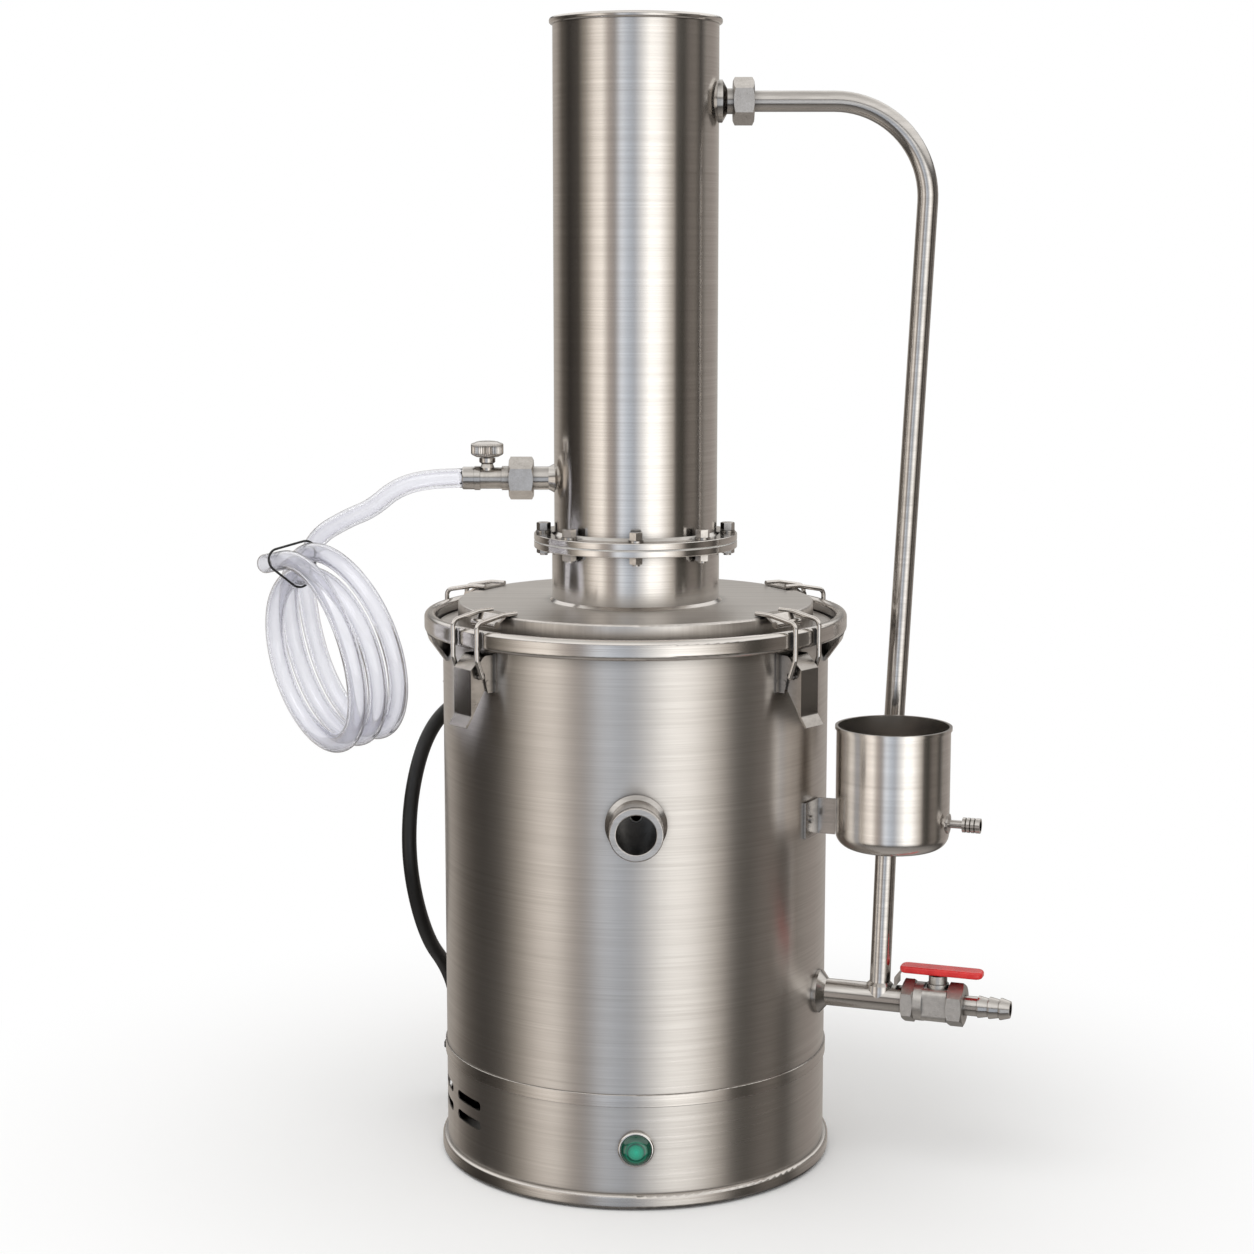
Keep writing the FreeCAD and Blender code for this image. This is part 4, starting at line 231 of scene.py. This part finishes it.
# Each panel's middle is a turn in degrees from the camera's side, with its colour.
panels = [(-180, 0.513, 0.487, 0.45), (-142, 0.412, 0.376, 0.34), (-124, 0.123, 0.109, 0.095),
          (-106, 0.029, 0.025, 0.022), (-86, 0.069, 0.06, 0.052), (-72, 0.412, 0.376, 0.328),
          (-58, 1.069, 0.996, 0.923), (-48, 1.251, 1.19, 1.114), (-38, 0.513, 0.462, 0.425),
          (-29, 0.364, 0.34, 0.328), (-20, 0.923, 0.981, 1.069), (-11, 0.644, 0.712, 0.809),
          (-2, 0.513, 0.552, 0.618), (8, 0.996, 1.01, 1.025), (20, 1.694, 1.694, 1.661),
          (33, 1.532, 1.516, 1.485), (46, 0.852, 0.809, 0.753), (54, 0.45, 0.412, 0.376),
          (58, 0.095, 0.086, 0.077), (69, 0.052, 0.048, 0.04), (80, 0.184, 0.163, 0.148),
          (90, 0.205, 0.184, 0.163), (101, 0.052, 0.048, 0.044), (114, 0.317, 0.294, 0.271),
          (132, 0.364, 0.328, 0.305), (180, 0.513, 0.487, 0.45)]
# Above and below the panels the colours go by height, from -1 straight down to 1 straight up.
heights = [(-1, 0.42, 0.40, 0.38), (-0.75, 0.3, 0.285, 0.27), (-0.52, 0.07, 0.065, 0.06),
           (0.2, 0.12, 0.115, 0.11), (0.27, 0.2, 0.195, 0.19), (0.36, 1.05, 1.04, 1.02),
           (0.7, 1.15, 1.14, 1.12), (1, 0.7, 0.69, 0.67)]
ambient_light = 0.85
world = bpy.data.worlds.new("studio")
world.use_nodes = True
bpy.context.scene.world = world
tree = world.node_tree
tree.nodes.clear()
looking = add_node(tree, "ShaderNodeTexCoord").outputs["Generated"]
way = add_node(tree, "ShaderNodeSeparateXYZ", {"Vector": looking}).outputs
round_turn = calc(tree, "ARCTAN2", way["X"], calc(tree, "MULTIPLY", way["Y"], -1))
studio_wall = ramp(tree, span(tree, round_turn, -math.pi, math.pi),
                   *[((turn + 180) / 360, *colour) for turn, *colour in panels])
level = span(tree, way["Z"], -1, 1)
over_and_under = ramp(tree, level, *[((height + 1) / 2, *colour) for height, *colour in heights])
beyond = ramp(tree, level, (0.26, 1), (0.3, 0), (0.56, 0), (0.61, 1))
studio = add_node(tree, "ShaderNodeMix", data_type="RGBA")
mix_inputs = [item for item in studio.inputs if item.enabled]
for socket, source in zip(mix_inputs, (beyond, studio_wall, over_and_under)):
    tree.links.new(source, socket)
studio_colour = [item for item in studio.outputs if item.enabled][0]
seen = add_node(tree, "ShaderNodeBackground", {"Color": (1, 1, 1, 1), "Strength": 1})
mirrored = add_node(tree, "ShaderNodeBackground", {"Color": studio_colour, "Strength": 1})
ambient = add_node(tree, "ShaderNodeBackground", {"Color": (1, 0.995, 0.985, 1),
                                                  "Strength": ambient_light})
rays = add_node(tree, "ShaderNodeLightPath").outputs
plain = calc(tree, "MAXIMUM", rays["Is Camera Ray"], rays["Is Transmission Ray"])
lit = add_node(tree, "ShaderNodeMixShader", {0: rays["Is Glossy Ray"], 1: ambient.outputs[0],
                                             2: mirrored.outputs[0]})
sky = add_node(tree, "ShaderNodeMixShader", {0: plain, 1: lit.outputs[0], 2: seen.outputs[0]})
add_node(tree, "ShaderNodeOutputWorld", {"Surface": sky.outputs[0]})

softbox_place = Vector((-0.5, -0.7, 1.9))
softbox_aim = Vector((0, 0, 0.2))
softbox_data = bpy.data.lights.new("overhead_softbox", "AREA")
softbox_data.shape = "RECTANGLE"
softbox_data.size, softbox_data.size_y = 1.4, 1.0
softbox_data.energy = 9
softbox = bpy.data.objects.new("overhead_softbox", softbox_data)
softbox.location = softbox_place
softbox.rotation_euler = (softbox_aim - softbox_place).to_track_quat("-Z", "Y").to_euler()
softbox.visible_glossy = False
bpy.context.scene.collection.objects.link(softbox)

# The floor is a round sheet of white paper. It holds the still's shadow, and to the camera it
# fades into the white background beyond that.
floor_radius = 1.1
fade_from, fade_to = 0.2, 0.55
floor_mesh = bmesh.new()
bmesh.ops.create_circle(floor_mesh, cap_ends=True, segments=96, radius=floor_radius)
floor_data = bpy.data.meshes.new("floor")
floor_mesh.to_mesh(floor_data)
floor_mesh.free()
floor = bpy.data.objects.new("floor", floor_data)
floor.visible_glossy = False
bpy.context.scene.collection.objects.link(floor)
white_floor, tree, shader, place = new_material("white_floor")
tree.nodes.remove(shader)
far = add_node(tree, "ShaderNodeVectorMath", {0: place}, operation="LENGTH").outputs["Value"]
away = span(tree, far, fade_from, fade_to, interpolation_type="SMOOTHSTEP")
rays = add_node(tree, "ShaderNodeLightPath").outputs
faded = calc(tree, "MULTIPLY", away, rays["Is Camera Ray"])
paper = add_node(tree, "ShaderNodeBsdfDiffuse", {"Color": (0.95, 0.95, 0.95, 1)})
white = add_node(tree, "ShaderNodeEmission", {"Color": (1, 1, 1, 1), "Strength": 1})
surface = add_node(tree, "ShaderNodeMixShader", {0: faded, 1: paper.outputs[0],
                                                 2: white.outputs[0]})
feed(tree, tree.nodes["Material Output"], {"Surface": surface.outputs[0]})
floor_data.materials.append(white_floor)

# The base is a rolled foot ring, a skirt with its vents and a band over its seam, under the pot.
# All are brushed stainless sheet. The plate and the parts inside are left unpolished, and the
# feet are black rubber.

# This group puts out the lines that an abrasive belt leaves on sheet, running across its third
# coordinate, and the soft clouds that come from handling and rolling.
grain = bpy.data.node_groups.new("belt_grain", "ShaderNodeTree")
grain.interface.new_socket("Vector", in_out="INPUT", socket_type="NodeSocketVector")
for name, value in (("Lines", 900), ("Length", 9), ("Clouds", 11)):
    socket = grain.interface.new_socket(name, in_out="INPUT", socket_type="NodeSocketFloat")
    socket.default_value = value
for name in ("Streak", "Cloud"):
    grain.interface.new_socket(name, in_out="OUTPUT", socket_type="NodeSocketFloat")
asked = add_node(grain, "NodeGroupInput").outputs
spread = add_node(grain, "ShaderNodeCombineXYZ", {"X": asked["Length"], "Y": asked["Length"],
                                                  "Z": asked["Lines"]}).outputs[0]
drawn = add_node(grain, "ShaderNodeVectorMath", {0: asked["Vector"], 1: spread},
                 operation="MULTIPLY").outputs[0]
fine_lines = add_node(grain, "ShaderNodeTexNoise", {"Vector": drawn, "Scale": 1, "Detail": 3,
                                                    "Roughness": 0.65}).outputs["Fac"]
all_lines = calc(grain, "ADD", fine_lines, noise(grain, drawn, 0.23, 2))
rolled = noise(grain, asked["Vector"], asked["Clouds"], 4)
add_node(grain, "NodeGroupOutput", {"Streak": span(grain, all_lines, 0.65, 1.35),
                                    "Cloud": span(grain, rolled, 0.3, 0.7)})


def steel(name, bright=(0.74, 0.705, 0.67), dull=(0.56, 0.525, 0.49), smooth=0.2, rough=0.32,
          lines=900, length=9, depth=0.00002, turned=(0, 0, 0), clouds=11, stretch=0.0,
          shade_reach=0.01):
    """Stainless steel with its belt lines across the local Z of a frame turned by the given
    angles, and painted shade that darkens its colour in its corners and crevices."""
    material, tree, shader, place = new_material(name)
    place = add_node(tree, "ShaderNodeMapping", {"Vector": place, "Rotation": turned}).outputs[0]
    marks = add_node(tree, "ShaderNodeGroup", {"Vector": place, "Lines": lines, "Length": length,
                                               "Clouds": clouds}, node_tree=grain).outputs
    worn = calc(tree, "MULTIPLY", calc(tree, "ADD", marks["Streak"], marks["Cloud"]), 0.5)
    shade = ramp(tree, marks["Streak"], (0, *dull), (1, *bright))
    # Painted shade: where ambient occlusion finds corners and crevices near the surface, the
    # colour is darkened.
    if shade_reach:
        open_air = add_node(tree, "ShaderNodeAmbientOcclusion", {"Distance": shade_reach},
                            samples=8).outputs["AO"]
        painted_corner_shade = ramp(tree, open_air, (0.25, 0.22), (0.6, 0.72), (0.9, 1))
        shade = add_node(tree, "ShaderNodeVectorMath", {0: shade, 1: painted_corner_shade},
                         operation="MULTIPLY").outputs[0]
    feed(tree, shader, {"Base Color": shade, "Metallic": 1,
                        "Roughness": ramp(tree, worn, (0, rough), (1, smooth)),
                        "Normal": relief(tree, marks["Streak"], 0.6, depth)})
    if stretch:
        tangent = add_node(tree, "ShaderNodeTangent", direction_type="RADIAL", axis="Z").outputs[0]
        feed(tree, shader, {"Anisotropic": stretch, "Anisotropic Rotation": 0.25,
                            "Tangent": tangent})
    return material


def dress(material, *names):
    for name in names:
        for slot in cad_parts[name].material_slots:
            slot.material = material


drum_steel = steel("drum_steel", bright=(0.72, 0.685, 0.65), dull=(0.59, 0.555, 0.52), smooth=0.26,
                   rough=0.34, lines=3000, length=26, depth=0.000012, clouds=5, stretch=0.6)
dress(drum_steel, "base_skirt", "boiler_pot")
band_steel = steel("band_steel", smooth=0.18, rough=0.3, stretch=0.5)
dress(band_steel, "seam_band", "base_ring")
inner_steel = steel("inner_steel", bright=(0.62, 0.6, 0.57), dull=(0.5, 0.48, 0.46), smooth=0.4,
                    rough=0.6)
dress(inner_steel, "base_plate", "heating_element", "tube_bundle", "distillate_tray",
      "distillate_pipe")
foot_rubber = soft_black("foot_rubber", 0.012, 0.55, 0.8, 0.00008)
dress(foot_rubber, "rubber_feet")

# The pilot lamp has a turned and plated bezel, and a domed lens of clear emerald plastic,
# moulded with fine rings. Its colour has a painted highlight in its middle and near its edge, with
# painted shade between them.
lamp_height = 0.0396
lens_reach = 0.0075
lens_ring_turns = 4200
turned_steel = steel("turned_steel", bright=(0.86, 0.83, 0.8), dull=(0.74, 0.71, 0.68),
                     smooth=0.1, rough=0.2, lines=1500, length=60, turned=(math.pi / 2, 0, 0))
dress(turned_steel, "lamp_bezel")
lens, tree, shader, place = new_material("emerald_lens")
centred = add_node(tree, "ShaderNodeMapping", {"Vector": place,
                                               "Location": (0, 0, -lamp_height)}).outputs[0]
flat = add_node(tree, "ShaderNodeVectorMath", {0: centred, 1: (1, 0, 1)},
                operation="MULTIPLY").outputs[0]
out = add_node(tree, "ShaderNodeVectorMath", {0: flat}, operation="LENGTH").outputs["Value"]
rings = calc(tree, "SINE", calc(tree, "MULTIPLY", out, lens_ring_turns))
# Painted light on the lens: bright in the middle and near the edge, painted shade in the band
# between.
lens_painted_light = ramp(tree, span(tree, out, 0, lens_reach), (0, 0, 0.42, 0.26), (0.55, 0, 0.26, 0.15),
             (0.72, 0, 0.05, 0.03), (0.85, 0, 0.16, 0.09), (1, 0, 0.06, 0.035))
feed(tree, shader, {"Base Color": lens_painted_light, "Normal": relief(tree, rings, 0.15, 0.0001),
                    "Roughness": 0.08, "Coat Weight": 1, "Coat Roughness": 0.03})
dress(lens, "lamp_lens")

# The rim is a ring rolled over the pot's mouth and polished, and the two side pulls that hang
# under it are bent from thin sheet with the same finish.
rim_steel = steel("rim_steel", smooth=0.14, rough=0.24, lines=1100)
dress(rim_steel, "pot_rim", "side_pulls")

# The lid is one spun disc, its top belt-ground straight across. It is clamped on a black rubber
# gasket, while the joint of the flanges and the ball valve have pale silicone.
lid_steel = steel("lid_steel", smooth=0.27, rough=0.38, lines=900, length=14,
                  turned=(math.pi / 2, 0, 0), clouds=7)
dress(lid_steel, "lid")
silicone, tree, shader, place = new_material("silicone")
milk = noise(tree, place, 60, 4)
feed(tree, shader, {"Base Color": ramp(tree, milk, (0.3, 0.6, 0.59, 0.57), (0.7, 0.74, 0.73, 0.7)),
                    "Roughness": ramp(tree, milk, (0.3, 0.45), (0.7, 0.6))})
dress(silicone, "flange_gasket", "valve_seats")
seal_rubber = soft_black("seal_rubber", 0.02, 0.4, 0.6, 0.00005)
dress(seal_rubber, "lid_gasket")

# The toggle latches hold the lid down on four sides. Bracket and lever are stamped and tumbled
# strip, and the bail is bright drawn wire.
stamped_steel = steel("stamped_steel", bright=(0.5, 0.47, 0.44), dull=(0.36, 0.335, 0.31),
                      smooth=0.18, rough=0.3, lines=500, length=200, depth=0.00001)
wire_steel = steel("wire_steel", bright=(0.74, 0.7, 0.66), dull=(0.6, 0.565, 0.53), smooth=0.12,
                   rough=0.2, lines=700, length=300, depth=0.00001)
for number in (1, 2, 3, 4):
    dress(stamped_steel, "latch_lever_%d" % number)
    dress(wire_steel, "latch_bail_%d" % number)
dress(stamped_steel, "latch_brackets")

# The neck and the column are polished tube with very fine lines round them. Their flanges are
# turned, welded on and bolted together, and a pressed cap closes the top.
column_steel = steel("column_steel", bright=(0.78, 0.745, 0.71), dull=(0.64, 0.605, 0.57),
                     smooth=0.13, rough=0.2, lines=1300, length=10, depth=0.00001, stretch=0.6)
dress(column_steel, "neck", "condenser_shell", "condenser_cap")

# The water cup is drawn from bright sheet and strapped to the boiler. It is open at the top,
# and its inside has the same finish as its outside.
cup_steel = steel("cup_steel", bright=(0.8, 0.765, 0.73), dull=(0.68, 0.645, 0.61), smooth=0.15,
                  rough=0.22, lines=1300, length=10, depth=0.000006, stretch=0.6, shade_reach=0)
dress(cup_steel, "water_cup")

# The pipes are drawn and polished steel tube, bent cold and welded at their roots. The strap,
# the small fittings and the needle valve's and ball valve's moving parts have their finish.
pipe_steel = steel("pipe_steel", bright=(0.66, 0.63, 0.6), dull=(0.5, 0.475, 0.45), smooth=0.12,
                   rough=0.22, lines=900, length=60, depth=0.00001)
dress(pipe_steel, "return_pipe", "standpipe", "drain_pipe", "column_nipples", "cup_bracket",
      "overflow_nozzle", "hose_ferrule", "valve_needle", "valve_stem", "valve_ball", "drain_lever",
      "hose_barb")

# The product spout is a stub of the same pipe, rolled outwards at its mouth and welded into the
# pot's front. Its bore is deep, and painted shade darkens its colour far into the bore.
spout_steel = steel("spout_steel", bright=(0.66, 0.63, 0.6), dull=(0.5, 0.475, 0.45), smooth=0.14,
                    rough=0.26, lines=900, length=60, depth=0.00001, shade_reach=0.03)
dress(spout_steel, "spout")

# The knob of the needle valve is turned from bar, straight-knurled round its rim and domed on
# top, with a blind hole for the spindle. It turns with the spindle, so it rides on the knob's
# body.
knob_centre = Vector((-0.0955, 0, 0.4443))
knob_profile = [(0, 0.0189), (0.0023, 0.0189), (0.0023, 0.0138), (0.0074, 0.0138),
                (0.0098, 0.0151), (0.01015, 0.0155), (0.01045, 0.0161), (0.01045, 0.0217),
                (0.01015, 0.0222), (0.0096, 0.0225), (0.0083, 0.0228), (0.0072, 0.0234),
                (0.0052, 0.0238), (0.0028, 0.02397), (0, 0.024)]
knob_teeth = 46
knurl_inner_radius = 0.0101
knurl_half_depth = 0.022
knob_crease = math.radians(50)
knob_mesh = bmesh.new()
spots = [knob_mesh.verts.new((knob_centre.x + radius, knob_centre.y, knob_centre.z + height))
         for radius, height in knob_profile]
edges = [knob_mesh.edges.new(pair) for pair in zip(spots, spots[1:])]
bmesh.ops.spin(knob_mesh, geom=spots + edges, cent=knob_centre, axis=(0, 0, 1),
               angle=2 * math.pi, steps=4 * knob_teeth, use_merge=True)
bmesh.ops.remove_doubles(knob_mesh, verts=knob_mesh.verts, dist=1e-6)
for vert in knob_mesh.verts:
    arm = (vert.co - knob_centre).xy
    if arm.length > knurl_inner_radius:
        tooth = math.cos(knob_teeth * math.atan2(arm.y, arm.x))
        vert.co.xy = knob_centre.xy + arm * (1 - knurl_half_depth * (1 - tooth))
bmesh.ops.recalc_face_normals(knob_mesh, faces=knob_mesh.faces)
for face in knob_mesh.faces:
    face.smooth = True
for edge in knob_mesh.edges:
    edge.smooth = len(edge.link_faces) == 2 and edge.calc_face_angle() < knob_crease
knob_data = bpy.data.meshes.new("knurled_knob")
knob_mesh.to_mesh(knob_data)
knob_mesh.free()
knurled_knob = bpy.data.objects.new("knurled_knob", knob_data)
bpy.context.scene.collection.objects.link(knurled_knob)
# The knob's colour is darkened with painted shade between the knurl's teeth.
knob_steel = steel("knob_steel", bright=(0.7, 0.67, 0.64), dull=(0.56, 0.53, 0.5), smooth=0.14,
                   rough=0.26, lines=900, length=300, depth=0.00001, shade_reach=0.0012)
knurled_knob.data.materials.append(knob_steel)
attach(knurled_knob, "knob")
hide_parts("needle_knob")

# The nuts, the bolts and the needle valve's body are milled from bar, duller than the pipes.
# The ball valve's body is cast and tumbled, so its skin is finely pitted.
nut_steel = steel("nut_steel", bright=(0.66, 0.625, 0.59), dull=(0.5, 0.47, 0.44), smooth=0.16,
                  rough=0.3, lines=600, length=600, depth=0.00001)
dress(nut_steel, "outlet_union_nut", "inlet_union_nut", "flange_bolts", "flange_nuts",
      "needle_valve_body")
cast_steel = steel("cast_steel", bright=(0.68, 0.655, 0.625), dull=(0.52, 0.5, 0.475), smooth=0.28,
                   rough=0.46, lines=1500, length=1500, depth=0.00012)
dress(cast_steel, "valve_body")

# The drain lever's sleeve is red vinyl that the hot lever was dipped in. It is glossy, with the
# faint sag and pits of dipping.
dipped, tree, shader, place = new_material("dipped_vinyl")
sag = noise(tree, place, 110, 3)
red = ramp(tree, sag, (0.3, 0.62, 0.012, 0.014), (0.7, 0.76, 0.03, 0.028))
feed(tree, shader, {"Base Color": red, "Roughness": ramp(tree, sag, (0.3, 0.2), (0.7, 0.32)),
                    "Normal": relief(tree, sag, 0.25, 0.0004), "Coat Weight": 0.35,
                    "Coat Roughness": 0.15})
dress(dipped, "lever_sleeve")

# Behind the boiler sit the housing of the overheat cut-out, its cable's glands and the mains
# inlet, and the terminal block is under the base. All are moulded in black plastic.
moulded = soft_black("moulded_plastic", 0.02, 0.4, 0.55, 0.0001)
dress(moulded, "cutout_housing", "cable_glands", "mains_inlet", "terminal_block")

# The tie is a ring of black coated wire, drawn tight round the three loops of the hose just
# past their top. It runs round the outermost loop on each side.
tie_radius = 0.00075
tie_reach = hose_radius + 0.0013
tie_corners = 48
tie_passes = [coil_point(turns) for turns in (1.02, 2.02, 3.02)]
tie_normal = (coil_point(1.021) - coil_point(1.019)).normalized()
tie_across = tie_normal.orthogonal().normalized()
tie_up = tie_normal.cross(tie_across)
tie_points = []
for index in range(tie_corners):
    angle = 2 * math.pi * index / tie_corners
    towards = tie_across * math.cos(angle) + tie_up * math.sin(angle)
    widest = max(tie_passes, key=lambda spot: spot.dot(towards))
    level_spot = widest - tie_normal * (widest - tie_passes[0]).dot(tie_normal)
    tie_points.append(level_spot + towards * tie_reach)
tie_wire = cord_piece("tie_wire", tie_points, tie_radius)
tie_wire.data.splines[0].use_endpoint_u = False
tie_wire.data.splines[0].use_cyclic_u = True
tie_plastic = soft_black("tie_plastic", 0.01, 0.3, 0.45, 0.00002)
tie_wire.data.materials.append(tie_plastic)
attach(tie_wire, "root")
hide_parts("hose_tie")
